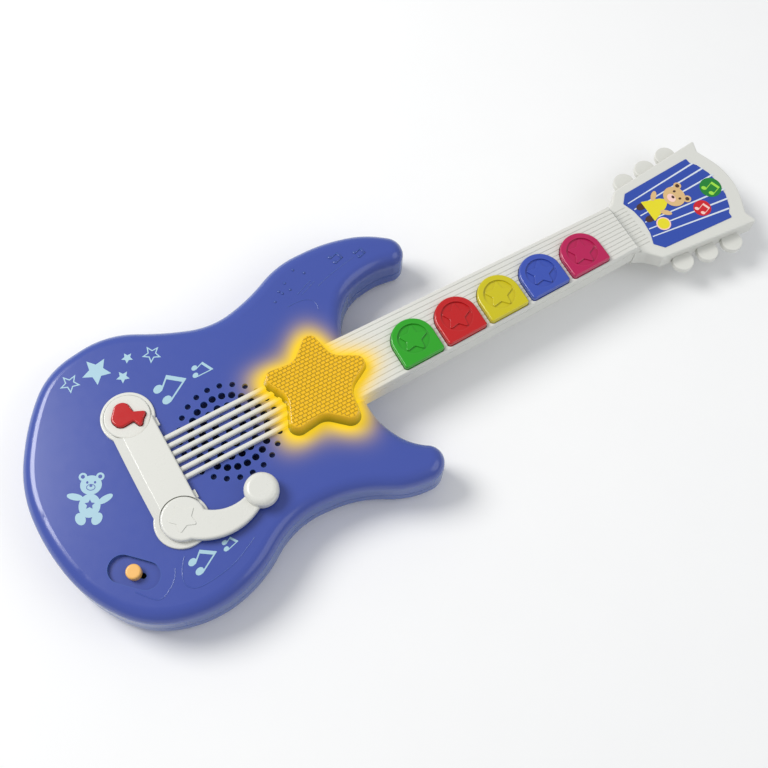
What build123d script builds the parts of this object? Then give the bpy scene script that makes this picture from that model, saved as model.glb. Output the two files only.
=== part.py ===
from build123d import *
import math
import os

os.makedirs("parts", exist_ok=True)

# Toy electric guitar, lying on its back.  Millimetres.  The origin is on the flat back, straight
# behind the middle of the loudspeaker grille.  +X runs along the neck to the headstock, +Y points to
# the side of the longer horn and +Z comes out of the playing face.

# ---------------------------------------------------------------- driving dimensions
body_thick = 32.0        # body, back to playing face
body_wall = 2.4          # body shell wall
body_edge_r = 8.0        # rounding of the body's front and back edges
seam_lip_h = 2.4         # locating lip that stands up inside the seam
seam_lip_t = 1.2
seam_groove = 0.5        # line moulded along every outside seam

neck_rise = 3.0          # neck face above the body's playing face
neck_depth = 21.0        # neck, face to back
neck_wall = 1.6
neck_panel_t = 1.8       # front face of the neck
neck_start_x = 66.0      # end of the neck, under the star lens
neck_end_x = 267.0       # nut, where the headstock begins
neck_half_start = 19.7   # half width at neck_start_x
neck_half_end = 16.2     # half width at the nut
neck_split_depth = 6.0   # neck seam below the neck face
neck_end_wall = 1.0      # closes the neck's hollow at the nut
neck_back_r = 5.0        # rounding along the back of the neck
neck_groove_count = 11   # fine lengthwise string lines on the neck face
neck_groove_w = 0.7
neck_groove_h = 0.35
neck_groove_in = 2.6     # outer lines inside the neck's edges
tenon_start_x = 42.0     # inner end of the neck's tongue inside the body
tenon_h = 6.0
tenon_half = 13.0
neck_screw_grip = 5.5    # depth of the neck screws' holes

head_drop = 8.0          # headstock face below the neck face
head_ramp_l = 5.0        # slope between the two faces
head_split_depth = 10.6  # headstock seam below its face
head_wall = 2.2
head_edge_r = 1.2
head_side = [(14.4, 26.9), (80.6, 33.7)]   # straight side, from near the nut to the outer tip
peg_count = 3            # tabs on each side
peg_r = 6.7
peg_t = 3.5
peg_gap = 0.15
peg_first_u = 27.6       # first tab, along the headstock from the nut
peg_pitch = 17.4
peg_out = 3.8            # tab centres outside the headstock's side
peg_strip_w = 3.1        # strip that joins the tabs inside
peg_strip_t = 1.6
label_t = 0.3
label_start_u = 14.0

key_count = 5
key_pitch = 29.3
key_first_x = 117.0
key_width = 26.3
key_top_y = 9.7          # crown of the arched end
key_edge_gap = 1.2       # flat end inside the neck's lower edge
key_height = 3.2         # above the neck face
key_travel = 2.0
key_gap = 0.35           # running gap round a key
key_wall = 1.5
key_flange_w = 0.9
key_flange_t = 1.2
key_edge_r = 1.1
key_dish_r = 9.5
key_dish_depth = 1.1
key_star_tip = 9.4       # raised star in the dish
key_star_valley = 4.6
key_star_drop = 0.15     # its top below the key's top
key_slack = 0.2          # flange below the neck's front face
key_dome_gap = 0.4       # under the plunger when the key is down
dome_r = 4.5
pad_t = 0.8              # dome above the rubber sheet
membrane_t = 1.0

star_x = 55.5            # lens centre
star_y = -1.5
star_height = 9.0        # above the playing face
star_tip_r = 37.5        # sharp corners before rounding, at the base
star_valley_r = 20.2
star_tip_round = 6.0
star_valley_round = 9.0
star_draft = 1.8         # how much the base is larger than the top, on each side
star_wall = 1.6
star_window = 0.60       # share of the lens outline that is open in the body face

string_count = 6
string_pitch = 5.17
string_w = 2.6
string_h = 2.6
string_start_x = -37.5

bridge_x = -46.0         # centre of both round ends
bridge_y = 34.3
bridge_rim_r = 15.3
bridge_rim_h = 1.8
bridge_disc_r = 13.0
bridge_disc_h = 3.0
bridge_groove_w = 0.5    # line round the disc
bridge_step_h = 1.5      # low skirt along the bar's outer side
bridge_bar_h = 4.8
bridge_right_x = -33.6
bridge_left_x = -58.4
bridge_ridge_x = -53.0
bridge_wall = 1.8
bridge_foot_y = 24.1     # small feet beside the strings
bridge_foot_w = 4.8
bridge_foot_l = 1.6

bow_travel = 1.5
bow_height = 1.9         # above the bridge disc
bow_edge_r = 0.9
bow_gap = 0.4
bow_turn = -38.0         # degrees
bow_flange_r = 9.4
bow_flange_t = 1.2
bow_flange_gap = 0.6
bow_stem_r = 2.2
bow_screw_out = 13.4     # board screws either side of the button

hub_x = -44.9            # swing axis of the arm
hub_y = -34.4
hub_r = 12.4
hub_top_h = 5.6          # hub and arm top above the playing face
hub_star_h = 0.45
hub_gap = 0.5            # round the hub in the bridge
arm_under_gap = 0.4      # under the hub, above the bridge rim
arm_edge_r = 1.4
arm_knob_x = -0.9
arm_knob_y = -41.1
arm_knob_r = 9.7
arm_knob_low = 1.5       # knob underside above the playing face
arm_knob_high = 10.2
arm_knob_edge_r = 3.6
arm_knob_under_r = 2.0
arm_shank_r = 4.0
arm_shank_gap = 0.3
washer_r = 5.6
washer_t = 1.0
spring_r = 4.85          # return spring round the shank
spring_wire_r = 0.35
spring_pitch = 1.6
spring_gap = 0.3         # above the washer

switch_x = -80.3         # power knob at rest
switch_y = -46.5
switch_angle = -45.0     # direction in which it slides
switch_travel = 5.0
switch_knob_r = 4.2
switch_knob_h = 2.4      # above the playing face
switch_dish_r = 7.8
switch_dish_l = 13.4     # between the centres of the dish's round ends
switch_dish_back = 2.4   # dish centre behind the middle of the slot
switch_dish_depth = 2.6
switch_dish_floor = 1.8
switch_screw_out = 9.5   # screws either side of the slot's middle
switch_screw_skin = 0.8  # left under the dish above each screw
switch_slot_gap = 0.35
switch_stem_r = 1.3

speaker_r = 30.0
speaker_flange_t = 1.2
speaker_gap = 0.3
speaker_depth = 18.0
clamp_t = 1.2
clamp_screw_r = speaker_r + 4.0
clamp_rim = 2.8          # overlap on the loudspeaker's flange
grille_rings = [(28.0, 24, 1.7), (21.6, 24, 2.1), (15.2, 16, 2.1), (8.4, 8, 2.1)]
grille_centre_r = 2.1

cell_r = 7.2             # AA cell
cell_len = 50.0
cell_count = 3
cell_gap = 0.4
cell_contact_room = 4.0  # at each end of a cell
tray_x = -62.0           # middle of the battery tray
tray_wall = 3.0
tray_roof = 1.6
door_t = 1.9
door_inset = 0.3         # below the flat back
door_ledge = 1.5
door_gap = 0.25
door_tail = 10.0         # screw end beyond the tray
tongue_len = 2.0
tongue_w = 8.0
tongue_y = 16.0          # tongues either side of the middle
tongue_gap = 0.3
door_rib_pitch = 6.0     # finger grooves across the door
door_rib_count = 6
door_rib_w = 1.6
door_rib_h = 0.5
door_rib_half = 18.0
door_boss_r = 4.2
door_boss_h = 12.0
roof_gap = 1.0           # bow button board above the battery tray

board_t = 1.6
main_board = (8.0, -45.5, 70.0, 21.0)     # centre x, centre y, length, width
main_board_screw_in = 3.5                 # screws in from the board's edges
main_board_drop = 9.0                     # below the inside of the front
light_board = (47.0, -1.5, 26.0, 26.0)
light_board_drop = 4.0
light_board_screw_y = 10.5
key_board_half = 13.4
key_board_end = 3.0                       # beyond the outer keys

screw_r = 1.45           # body screws
screw_head_r = 2.8
screw_head_h = 2.0
screw_gap = 0.05
screw_boss_r = 3.6
screw_well_r = 3.3
screw_well_depth = 5.0
small_screw_r = 1.15     # board, clamp and door screws
small_head_r = 2.2
small_head_h = 1.4
small_boss_r = 2.4
small_screw_bite = 1.4   # small screw holes go this far into the front wall
cross_w = 0.6

# body outline: corners of the straight-sided frame that the outline's arcs touch
body_corners = [
    (-115, 28), (-97, 61), (-75, 85), (-35, 91), (-4, 74), (21, 65), (48, 71), (72, 83), (104, 83),
    (129, 76), (147, 62), (142, 47), (124, 51), (100, 47), (85, 27), (78, -4), (75, -32), (85, -54),
    (101, -65), (94, -80), (72, -78), (46, -63), (8, -60), (-22, -80), (-52, -86), (-86, -77),
    (-109, -46), (-117, -8),
]
body_screw_points = [(-103, 3), (-72, 67), (-70, -64), (8, 55), (113, 66), (84, -65)]

# ---------------------------------------------------------------- levels worked out from the above
face_z = body_thick
inner_z = face_z - body_wall
neck_z = face_z + neck_rise
neck_back_z = neck_z - neck_depth
seam_z = neck_back_z
neck_seam_z = neck_z - neck_split_depth
head_z = neck_z - head_drop
head_thick = neck_depth - head_drop       # the two backs are level
key_under_z = neck_z - neck_panel_t
bridge_top_z = face_z + bridge_disc_h
hub_low_z = face_z + bridge_rim_h + arm_under_gap
hub_top_z = face_z + hub_top_h
main_board_z = inner_z - main_board_drop
light_board_z = inner_z - light_board_drop
cell_z = door_inset + door_t + cell_gap + cell_r
tray_top_z = cell_z + cell_r + cell_gap
tray_roof_z = tray_top_z + tray_roof
bow_board_z = tray_roof_z + roof_gap + board_t
switch_plate_z = inner_z - 4.5
dish_floor_z = face_z - switch_dish_depth
up = (0, 0, 1)
far = 500.0


# ---------------------------------------------------------------- small helpers
def rounded(corners):
    """Closed face with an arc at each corner.  A corner is (x, y) or (x, y, radius); without a
    radius the arc takes half of the shorter side beside it."""
    points = [Vector(c[0], c[1]) for c in corners]
    arcs = []
    for i, corner in enumerate(corners):
        here = points[i]
        back = points[i - 1] - here
        ahead = points[(i + 1) % len(points)] - here
        half = math.radians(back.get_angle(ahead)) / 2
        reach = min(back.length, ahead.length) / 2
        if len(corner) == 3:
            reach = min(corner[2] / math.tan(half), reach)
        start = here + back.normalized() * reach
        end = here + ahead.normalized() * reach
        radius = reach * math.tan(half)
        middle = here + (back.normalized() + ahead.normalized()).normalized() * (
            reach / math.cos(half) - radius)
        arcs.append((start, middle, end))
    edges = []
    for i, (start, middle, end) in enumerate(arcs):
        last_end = arcs[i - 1][2]
        if (start - last_end).length > 1e-4:
            edges.append(Line(last_end, start))
            edges.append(ThreePointArc(start, middle, end))
        else:
            edges.append(ThreePointArc(last_end, middle, end))
    return make_face(edges)


def slab(face, low, high):
    """A flat outline raised between two levels."""
    return Pos(0, 0, low) * extrude(face, high - low, dir=up)


def disc(x, y, radius, low, high):
    return Pos(x, y, low) * Cylinder(radius, high - low, align=(Align.CENTER, Align.CENTER, Align.MIN))


def block(x0, x1, y0, y1, z0, z1):
    return Pos((x0 + x1) / 2, (y0 + y1) / 2, (z0 + z1) / 2) * Box(x1 - x0, y1 - y0, z1 - z0)


def oblong(x, y, angle, length, radius, low, high):
    """Round-ended bar; length is between the centres of its ends."""
    shape = Pos(x, y) * Rot(0, 0, angle) * SlotCenterToCenter(length, 2 * radius)
    return slab(shape, low, high)


def star(x, y, tip, valley, tip_round, valley_round, turn=0.0):
    corners = []
    for i in range(5):
        a = math.radians(turn + 72 * i)
        b = math.radians(turn + 72 * i + 36)
        corners.append((x + tip * math.cos(a), y + tip * math.sin(a), tip_round))
        corners.append((x + valley * math.cos(b), y + valley * math.sin(b), valley_round))
    return rounded(corners)


def soften(solid, radius, side):
    """Round the highest (side -1) or the lowest (side 0) edges."""
    return fillet(solid.edges().group_by(Axis.Z)[side], radius)


def screw(x, y, head_z, length, radius, head_r, head_h):
    """Cross-head screw pointing up; head_z is the underside of the head."""
    body = disc(x, y, head_r, head_z, head_z + head_h) + disc(x, y, radius, head_z, head_z + length)
    slot = Box(2.2 * head_r * 0.6, cross_w, head_h * 0.8)
    for turn in (0, 90):
        body -= Pos(x, y, head_z) * Rot(0, 0, turn) * slot
    return body


def small_screw(x, y, head_z, length):
    return screw(x, y, head_z, length, small_screw_r, small_head_r, small_head_h)


def tube(points, radius, bend):
    """Insulated wire: straight runs joined by arcs."""
    path = FilletPolyline(*points, radius=bend)
    start = Plane(origin=path @ 0, z_dir=path % 0)
    return sweep(start * Circle(radius), path=path)


def neck_half(x):
    share = (x - neck_start_x) / (neck_end_x - neck_start_x)
    return neck_half_start + (neck_half_end - neck_half_start) * share


written = []


def save(node, shape):
    """One file for each sub-part; a group of separate solids is kept as one compound."""
    solids = shape.solids()
    export_step(solids[0] if len(solids) == 1 else Compound(children=solids), "parts/" + node + ".step")
    written.append(node)


# ---------------------------------------------------------------- outlines
body_face = rounded(body_corners)
body_inner_face = offset(body_face, -body_wall)

head_half = [(-8.0, 15.9, 1.0), (1.0, 16.6, 4.0), (7.2, 19.4, 5.0), (*head_side[0], 1.6),
             (*head_side[1], 1.0), (78.0, 25.7, 2.0), (84.9, 9.0, 40.0)]
head_face = rounded(head_half + [(c[0], -c[1], *c[2:]) for c in reversed(head_half)])
head_place = Pos(neck_end_x, 0, head_z)


def head_side_v(u):
    """Half width of the headstock along its straight side."""
    (u0, v0), (u1, v1) = head_side
    return v0 + (v1 - v0) * (u - u0) / (u1 - u0)


def neck_plan(inset, x0, x1):
    """Tapered outline of the neck, inset all round its sides."""
    return make_face(Polyline(
        (x0, neck_half(x0) - inset), (x0, inset - neck_half(x0)),
        (x1, inset - neck_half(x1)), (x1, neck_half(x1) - inset), close=True))


def key_centre(i):
    return key_first_x + key_pitch * i


def key_outline(i, grow):
    """Arched key: flat end along the neck's lower edge, half-round end above."""
    x = key_centre(i)
    half = key_width / 2 + grow
    arc_y = key_top_y - key_width / 2
    left_y = -(neck_half(x - half) - key_edge_gap) - grow
    right_y = -(neck_half(x + half) - key_edge_gap) - grow
    edges = [
        Line((x - half, arc_y), (x - half, left_y)),
        Line((x - half, left_y), (x + half, right_y)),
        Line((x + half, right_y), (x + half, arc_y)),
        ThreePointArc((x + half, arc_y), (x, arc_y + half), (x - half, arc_y)),
    ]
    face = make_face(edges)
    return fillet(face.vertices().group_by(Axis.Y)[0] + face.vertices().group_by(Axis.Y)[1], 1.8 + grow)


lens_face = star(star_x, star_y, star_tip_r, star_valley_r, star_tip_round, star_valley_round)
lens_taper = math.degrees(math.atan(star_draft / star_height))


def lens_block(grow, low, high):
    """Star with the lens's sloping sides, grown all round, between two levels."""
    start = grow - star_draft * (low - face_z) / star_height
    outline = offset(lens_face, start) if start else lens_face
    return Pos(0, 0, low) * extrude(outline, high - low, dir=up, taper=lens_taper)


def bow_outline(grow):
    """Bow with a large round lobe and a small notched one either side of its knot."""
    corners = [(2.9, 3.1, 1.0), (-2.4, 8.2, 4.2), (-8.2, 5.4, 4.6), (-8.2, -4.6, 4.8), (-2.2, -8.4, 4.2),
               (4.4, -2.4, 1.0), (9.8, -5.6, 1.4), (9.4, 0.0, 2.0), (10.4, 4.9, 1.4)]
    face = offset(rounded(corners), grow) if grow else rounded(corners)
    return Pos(bridge_x, bridge_y) * Rot(0, 0, bow_turn) * face


# ---------------------------------------------------------------- body shells
outer = soften(soften(slab(body_face, 0, face_z), body_edge_r, -1), body_edge_r, 0)
inner = soften(soften(slab(body_inner_face, body_wall, inner_z), body_edge_r - body_wall, -1),
               body_edge_r - body_wall, 0)
hollow_body = outer - inner
upper_space = block(-far, far, -far, far, seam_z, far)
lower_space = block(-far, far, -far, far, -far, seam_z)

neck_pocket = slab(neck_plan(-key_gap, neck_start_x - key_gap, neck_end_x), seam_z, neck_z + 1)
switch_dir = Vector(math.cos(math.radians(switch_angle)), math.sin(math.radians(switch_angle)))
slot_mid = Vector(switch_x, switch_y) + switch_dir * (switch_travel / 2)
dish_mid = slot_mid - switch_dir * switch_dish_back
clamp_points = [(clamp_screw_r * math.cos(math.radians(a)), clamp_screw_r * math.sin(math.radians(a)))
                for a in (90, 210, 330)]
lens_post_points = [(star_x - 17.5, star_y + s * 14.5) for s in (1, -1)]
bridge_post_points = [(bridge_x + 3.5, 17.0), (bridge_x + 3.5, -12.0)]
light_screw_points = [(light_board[0], light_board[1] + s * light_board_screw_y) for s in (1, -1)]
main_screw_dx = main_board[2] / 2 - main_board_screw_in
main_screw_dy = main_board[3] / 2 - main_board_screw_in
main_screw_points = [(main_board[0] + sx * main_screw_dx, main_board[1] + sy * main_screw_dy)
                     for sx in (1, -1) for sy in (1, -1)]
bow_screw_points = [(bridge_x + s * bow_screw_out, bridge_y) for s in (1, -1)]
switch_screw_points = [tuple(slot_mid + switch_dir * (s * switch_screw_out))[:2] for s in (1, -1)]
root = 0.5               # bosses and ribs run this far into the wall that they stand on


def dish(length, radius, low, high):
    """Round-ended bar round the middle of the power switch's dish."""
    return oblong(dish_mid.X, dish_mid.Y, switch_angle, length, radius, low, high)


front = hollow_body & upper_space
dish_under_z = dish_floor_z - switch_dish_floor
front += dish(switch_dish_l, switch_dish_r + small_boss_r - 0.8, dish_under_z, inner_z + root)
front += disc(0, 0, speaker_r + speaker_gap + 1.5, inner_z - speaker_flange_t, inner_z + root) - disc(
    0, 0, speaker_r + speaker_gap, 0, inner_z)
bosses = [(body_screw_points, screw_boss_r, seam_z),
          (clamp_points, small_boss_r + 1, inner_z - speaker_flange_t),
          (light_screw_points, small_boss_r, light_board_z),
          (main_screw_points, small_boss_r, main_board_z),
          (bow_screw_points, small_boss_r, bow_board_z),
          (switch_screw_points, small_boss_r, switch_plate_z)]
for points, radius, low in bosses:
    for x, y in points:
        front += disc(x, y, radius, low, inner_z + root)

front -= dish(switch_dish_l, switch_dish_r, dish_floor_z, far)
front -= oblong(slot_mid.X, slot_mid.Y, switch_angle, switch_travel, switch_stem_r + switch_slot_gap,
                dish_under_z - 1, far)
front -= neck_pocket
front -= slab(star(star_x, star_y, star_tip_r * star_window, star_valley_r * star_window, 3.0, 4.0),
              inner_z - 1, face_z + 1)
for ring_r, count, hole_r in grille_rings:
    for i in range(count):
        a = 2 * math.pi * i / count
        front -= disc(ring_r * math.cos(a), ring_r * math.sin(a), hole_r, inner_z - 0.5, face_z + 1)
front -= disc(0, 0, grille_centre_r, inner_z - 0.5, face_z + 1)
front -= disc(bridge_x, bridge_y, bow_flange_r + bow_flange_gap, inner_z - 1, face_z + 1)
front -= slab(bow_outline(bow_gap), inner_z - 1, face_z + 1)
front -= disc(hub_x, hub_y, arm_shank_r + arm_shank_gap, inner_z - 1, face_z + 1)
for x, y in lens_post_points + bridge_post_points:
    front -= disc(x, y, small_boss_r + 0.1, inner_z - 1, face_z + 1)
for x, y in body_screw_points:
    front -= disc(x, y, screw_r + screw_gap, seam_z - 1, inner_z - 1)
for x, y in clamp_points + light_screw_points + main_screw_points + bow_screw_points:
    front -= disc(x, y, small_screw_r + screw_gap, 0, inner_z + small_screw_bite)
for x, y in switch_screw_points:
    front -= disc(x, y, small_screw_r + screw_gap, 0, dish_floor_z - switch_screw_skin)
front -= block(-far, far, -far, far, seam_z, seam_z + seam_groove) - slab(
    offset(body_face, -seam_groove), seam_z - 1, face_z)
save("body_front_shell", front)

tray_half_x = cell_count * (cell_r + cell_gap / 2)
tray_half_y = cell_len / 2 + cell_contact_room
door_x0 = tray_x - tray_half_x - door_tail
door_x1 = tray_x + tray_half_x + door_ledge
door_half_y = tray_half_y + door_ledge
door_top_z = door_inset + door_t
door_screw_x = door_x0 + 5.5

back = hollow_body & lower_space
lip_face = offset(body_face, -body_wall + 0.4) - offset(body_face, -body_wall - seam_lip_t)
lip_gap_face = offset(body_face, -body_wall - 0.12)
lip = slab(lip_face, seam_z - 4, seam_z) + (
    slab(lip_face & lip_gap_face, seam_z, seam_z + seam_lip_h))
back += lip
for x, y in body_screw_points:
    back += disc(x, y, screw_boss_r + 1.4, body_wall - root, seam_z)
back += block(door_x0 - 1.5, tray_x + tray_half_x + tray_wall, -tray_half_y - tray_wall,
              tray_half_y + tray_wall, body_wall - root, door_top_z + tray_roof)
back += block(tray_x - tray_half_x - tray_wall, tray_x + tray_half_x + tray_wall,
              -tray_half_y - tray_wall, tray_half_y + tray_wall, body_wall - root, tray_roof_z)
back += disc(door_screw_x, 0, door_boss_r, body_wall - root, door_boss_h)
back -= block(tray_x - tray_half_x, tray_x + tray_half_x, -tray_half_y, tray_half_y, -1, tray_top_z)
back -= block(door_x0 - door_gap, door_x1 + door_gap, -door_half_y - door_gap, door_half_y + door_gap,
              -1, door_top_z)
for s in (1, -1):
    back -= block(door_x1 - 0.5, door_x1 + tongue_len + 0.5, s * tongue_y - tongue_w / 2 - tongue_gap,
                  s * tongue_y + tongue_w / 2 + tongue_gap, 0.8, 3.8)
back -= disc(door_screw_x, 0, small_head_r, -1, door_boss_h - 1)
for x, y in body_screw_points:
    back -= disc(x, y, screw_well_r, -1, screw_well_depth)
    back -= disc(x, y, screw_r + 0.3, -1, seam_z + 1)
neck_screw_points = [(tenon_start_x + 7, 6.5), (tenon_start_x + 7, -6.5), (neck_start_x + 4, 0)]
for x, y in neck_screw_points:
    back += disc(x, y, screw_boss_r + 1, body_wall - root, seam_z)
for x, y in neck_screw_points:
    back -= disc(x, y, screw_well_r, -1, screw_well_depth)
    back -= disc(x, y, screw_r + 0.3, -1, seam_z + 1)
back -= slab(neck_plan(-key_gap, neck_start_x - key_gap, neck_end_x), seam_z, far)
for x, y in body_screw_points:
    back -= disc(x, y, screw_boss_r + 0.3, seam_z, far)
save("body_back_shell", back)


def body_screw(x, y, well_z, tip_z):
    """Screw whose head sits at the bottom of a well."""
    head_low_z = well_z - screw_head_h
    return screw(x, y, head_low_z, tip_z - head_low_z, screw_r, screw_head_r, screw_head_h)


save("body_screws", Compound([body_screw(x, y, screw_well_depth, inner_z - 4.6)
                              for x, y in body_screw_points]))

# ---------------------------------------------------------------- battery tray contents
button_r = 2.7
button_l = 1.4
contact_half = 5.5
contact_t = 0.5


def lying(x, y, radius, length):
    """Cylinder along Y at the height of the cells."""
    return Pos(x, y, cell_z) * Rot(90, 0, 0) * Cylinder(radius, length)


def cell(x, button_end):
    """AA cell along Y; button_end is 1 when its button points to +Y."""
    can = fillet(lying(x, 0, cell_r, cell_len - button_l).edges(), 0.6)
    return can + lying(x, button_end * (cell_len / 2 - 0.2), button_r, button_l)


cell_xs = [tray_x + (i - (cell_count - 1) / 2) * (2 * cell_r + cell_gap) for i in range(cell_count)]
for i, x in enumerate(cell_xs):
    save(f"battery_cell_{i + 1}", cell(x, 1 if i % 2 == 0 else -1))


def contact(x, end, sprung):
    """Contact plate on the end wall of the tray, with a conical spring or a raised button."""
    wall_y = end * tray_half_y
    inner_y = wall_y - end * contact_t
    plate = block(x - contact_half, x + contact_half, min(wall_y, inner_y), max(wall_y, inner_y),
                  cell_z - contact_half, cell_z + contact_half)
    if sprung:
        for radius, out in [(4.4, 0.9), (3.7, 1.7), (3.0, 2.5)]:
            y = wall_y - end * out
            plate += lying(x, y, radius, 0.9) - lying(x, y, radius - 0.9, 2.0)
        return plate
    room = cell_contact_room - 0.7
    return plate + lying(x, wall_y - end * room / 2, 3.2, room)


springs = []
buttons = []
for i, x in enumerate(cell_xs):
    button_end = 1 if i % 2 == 0 else -1
    springs.append(contact(x, -button_end, True))
    buttons.append(contact(x, button_end, False))
save("battery_spring_contacts", Compound(springs))
save("battery_button_contacts", Compound(buttons))

door = block(door_x0, door_x1, -door_half_y, door_half_y, door_inset, door_top_z)
for i in range(door_rib_count):
    x = tray_x + door_rib_pitch * (i - (door_rib_count - 1) / 2)
    door -= block(x - door_rib_w / 2, x + door_rib_w / 2, -door_rib_half, door_rib_half, 0,
                  door_inset + door_rib_h)
for s in (1, -1):
    door += block(door_x1 - 1, door_x1 + tongue_len, s * tongue_y - tongue_w / 2,
                  s * tongue_y + tongue_w / 2, door_inset + 0.7, door_top_z)
door -= disc(door_screw_x, 0, small_screw_r + 0.2, -1, door_top_z + 1)
door -= disc(door_screw_x, 0, small_head_r + 0.2, -1, door_inset + small_head_h)
save("battery_door", door)
save("battery_door_screw", small_screw(door_screw_x, 0, door_inset, 8.0))

# ---------------------------------------------------------------- neck and headstock
neck_body = slab(neck_plan(0, neck_start_x, neck_end_x), neck_back_z, neck_z)
neck_sides = neck_body.edges().filter_by(lambda e: abs(e.tangent_at(0.5).X) > 0.9)
neck_body = fillet(neck_sides.group_by(Axis.Z)[0], neck_back_r)
neck_sides = neck_body.edges().filter_by(lambda e: abs(e.tangent_at(0.5).X) > 0.9)
neck_body = fillet(neck_sides.group_by(Axis.Z)[-1], 0.8)
neck_hollow = slab(neck_plan(neck_wall, neck_start_x + neck_wall, neck_end_x - neck_end_wall),
                   neck_back_z + 2.0, key_under_z)

head_body = slab(head_face, -head_thick, 0)
head_body = fillet(head_body.edges().group_by(Axis.Z)[-1], head_edge_r)
head_body = fillet(head_body.edges().group_by(Axis.Z)[0], head_edge_r)
head_hollow = slab(offset(head_face, -head_wall), -head_split_depth, -head_wall) & block(
    head_ramp_l, far, -far, far, -far, far)
head_front_part = block(0, far, -far, far, -head_split_depth, far)
head_back_part = block(-0.5, far, -far, far, -far, -head_split_depth)

peg_us = [peg_first_u + i * peg_pitch for i in range(peg_count)]
peg_points = [(u, s * (head_side_v(u) + peg_out)) for u in peg_us for s in (1, -1)]
peg_top = peg_t - head_split_depth
peg_notches = Compound([disc(u, v, peg_r + peg_gap, -head_split_depth - 0.01, peg_top + peg_gap)
                        for u, v in peg_points])
head_screw_points = [(14.0, 0.0), (70.0, 14.0), (70.0, -14.0)]


def along_neck(profile, y, width):
    """Outline in the plane of X and Z, from the nut at the headstock face's level, given a width."""
    face = make_face(Plane.XZ * Polyline(*profile, close=True))
    return head_place * Pos(0, y, 0) * extrude(face, width / 2, both=True)


ramp_foot = head_drop - neck_split_depth
ramp = along_neck([(-neck_end_wall, head_drop), (0, head_drop), (head_ramp_l, 0), (head_ramp_l, -1), (0, -1),
                   (0, ramp_foot), (-neck_end_wall, ramp_foot)], 0, 2 * neck_half_end)
front_neck = (neck_body - neck_hollow) & block(-far, neck_end_x, -far, far, neck_seam_z, far)
front_head = (head_body & head_front_part) - head_hollow - peg_notches
for u, v in head_screw_points:
    front_head += disc(u, v, small_boss_r, -head_split_depth, root - head_wall)
    front_head -= disc(u, v, small_screw_r + screw_gap, -head_split_depth - 1, -head_wall)
neck_front = front_neck + head_place * front_head + ramp
for i in range(key_count):
    neck_front -= slab(key_outline(i, key_gap), neck_seam_z - 1, far)
post_points = [(key_centre(i) + key_pitch / 2, key_top_y + 0.5) for i in range(key_count - 1)]
key_low_z = key_under_z - key_slack - key_flange_t
key_stack_top = key_low_z - key_travel - key_dome_gap
membrane_z = key_stack_top - pad_t - membrane_t
key_board_z = membrane_z - board_t
for x, y in post_points:
    neck_front += disc(x, y, small_boss_r - 0.3, membrane_z, key_under_z + 0.5)
    neck_front -= disc(x, y, small_screw_r + screw_gap, 0, key_under_z + 0.6)
shell_screw_points = [(key_first_x - 24.0, 0.0), (key_centre(key_count - 1) + 22.0, 0.0)]
for x, y in shell_screw_points:
    neck_front += disc(x, y, screw_boss_r, neck_seam_z, key_under_z + 0.5)
    neck_front -= disc(x, y, screw_r + screw_gap, 0, key_under_z)
groove_top = head_drop - neck_groove_h
groove_turn = [(-0.6, head_drop + 1), (-0.6, groove_top), (0, groove_top), (head_ramp_l, -neck_groove_h),
               (label_start_u - 0.6, -neck_groove_h), (label_start_u - 0.6, 1), (head_ramp_l + 1, 1)]
for i in range(neck_groove_count):
    y_share = (i - (neck_groove_count - 1) / 2) / ((neck_groove_count - 1) / 2)
    y0 = y_share * (neck_half_start - neck_groove_in)
    y1 = y_share * (neck_half_end - neck_groove_in)
    half = neck_groove_w / 2
    x0 = neck_start_x + 6
    x1 = neck_end_x - 0.5
    line = make_face(Polyline((x0, y0 - half), (x0, y0 + half), (x1, y1 + half), (x1, y1 - half),
                              close=True))
    neck_front -= slab(line, neck_z - neck_groove_h, neck_z + 1)
    neck_front -= along_neck(groove_turn, y1, neck_groove_w)
seam_band = block(neck_start_x - 1, neck_end_x - 0.5, -far, far, neck_seam_z, neck_seam_z + seam_groove)
neck_front -= seam_band - slab(neck_plan(seam_groove, neck_start_x - 2, neck_end_x), 0, far)
save("neck_front_shell", neck_front)

neck_rear = (neck_body - neck_hollow) & block(-far, neck_end_x - 0.2, -far, far, -far, neck_seam_z)
neck_rear += block(tenon_start_x, neck_start_x + neck_wall, -tenon_half, tenon_half, neck_back_z,
                   neck_back_z + tenon_h)
for x, y in neck_screw_points:
    neck_rear += disc(x, y, screw_boss_r, neck_back_z, neck_back_z + tenon_h)
    neck_rear -= disc(x, y, screw_r + screw_gap, neck_back_z - 1, neck_back_z + neck_screw_grip)
for x, y in shell_screw_points:
    neck_rear += disc(x, y, screw_boss_r + 1, neck_back_z, neck_seam_z)
    neck_rear -= disc(x, y, screw_well_r, neck_back_z - 1, neck_back_z + screw_well_depth)
    neck_rear -= disc(x, y, screw_r + 0.3, neck_back_z - 1, neck_seam_z + 1)
rear_head = head_body & head_back_part
for u, v in head_screw_points:
    rear_head -= disc(u, v, small_screw_r + 0.2, -head_thick - 1, -head_split_depth + 1)
    rear_head -= disc(u, v, small_head_r + 0.2, -head_thick - 1, -head_thick + small_head_h)
neck_rear += head_place * rear_head
save("neck_back_shell", neck_rear)

strip_u0 = peg_us[0] - 4
strip_u1 = peg_us[-1] + 4
for side, name in ((1, "tuning_pegs_upper"), (-1, "tuning_pegs_lower")):
    strip = make_face(Polyline(*[(u, side * (head_side_v(u) - head_wall - inset)) for u, inset in (
        (strip_u0, 0.3), (strip_u1, 0.3), (strip_u1, peg_strip_w), (strip_u0, peg_strip_w))], close=True))
    pegs = slab(strip, -head_split_depth, -head_split_depth + peg_strip_t)
    for u, v in peg_points:
        if v * side > 0:
            tab = disc(u, v, peg_r, -head_split_depth, peg_top)
            pegs += fillet(tab.edges().group_by(Axis.Z)[-1], 0.6)
    save(name, head_place * pegs)

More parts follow.
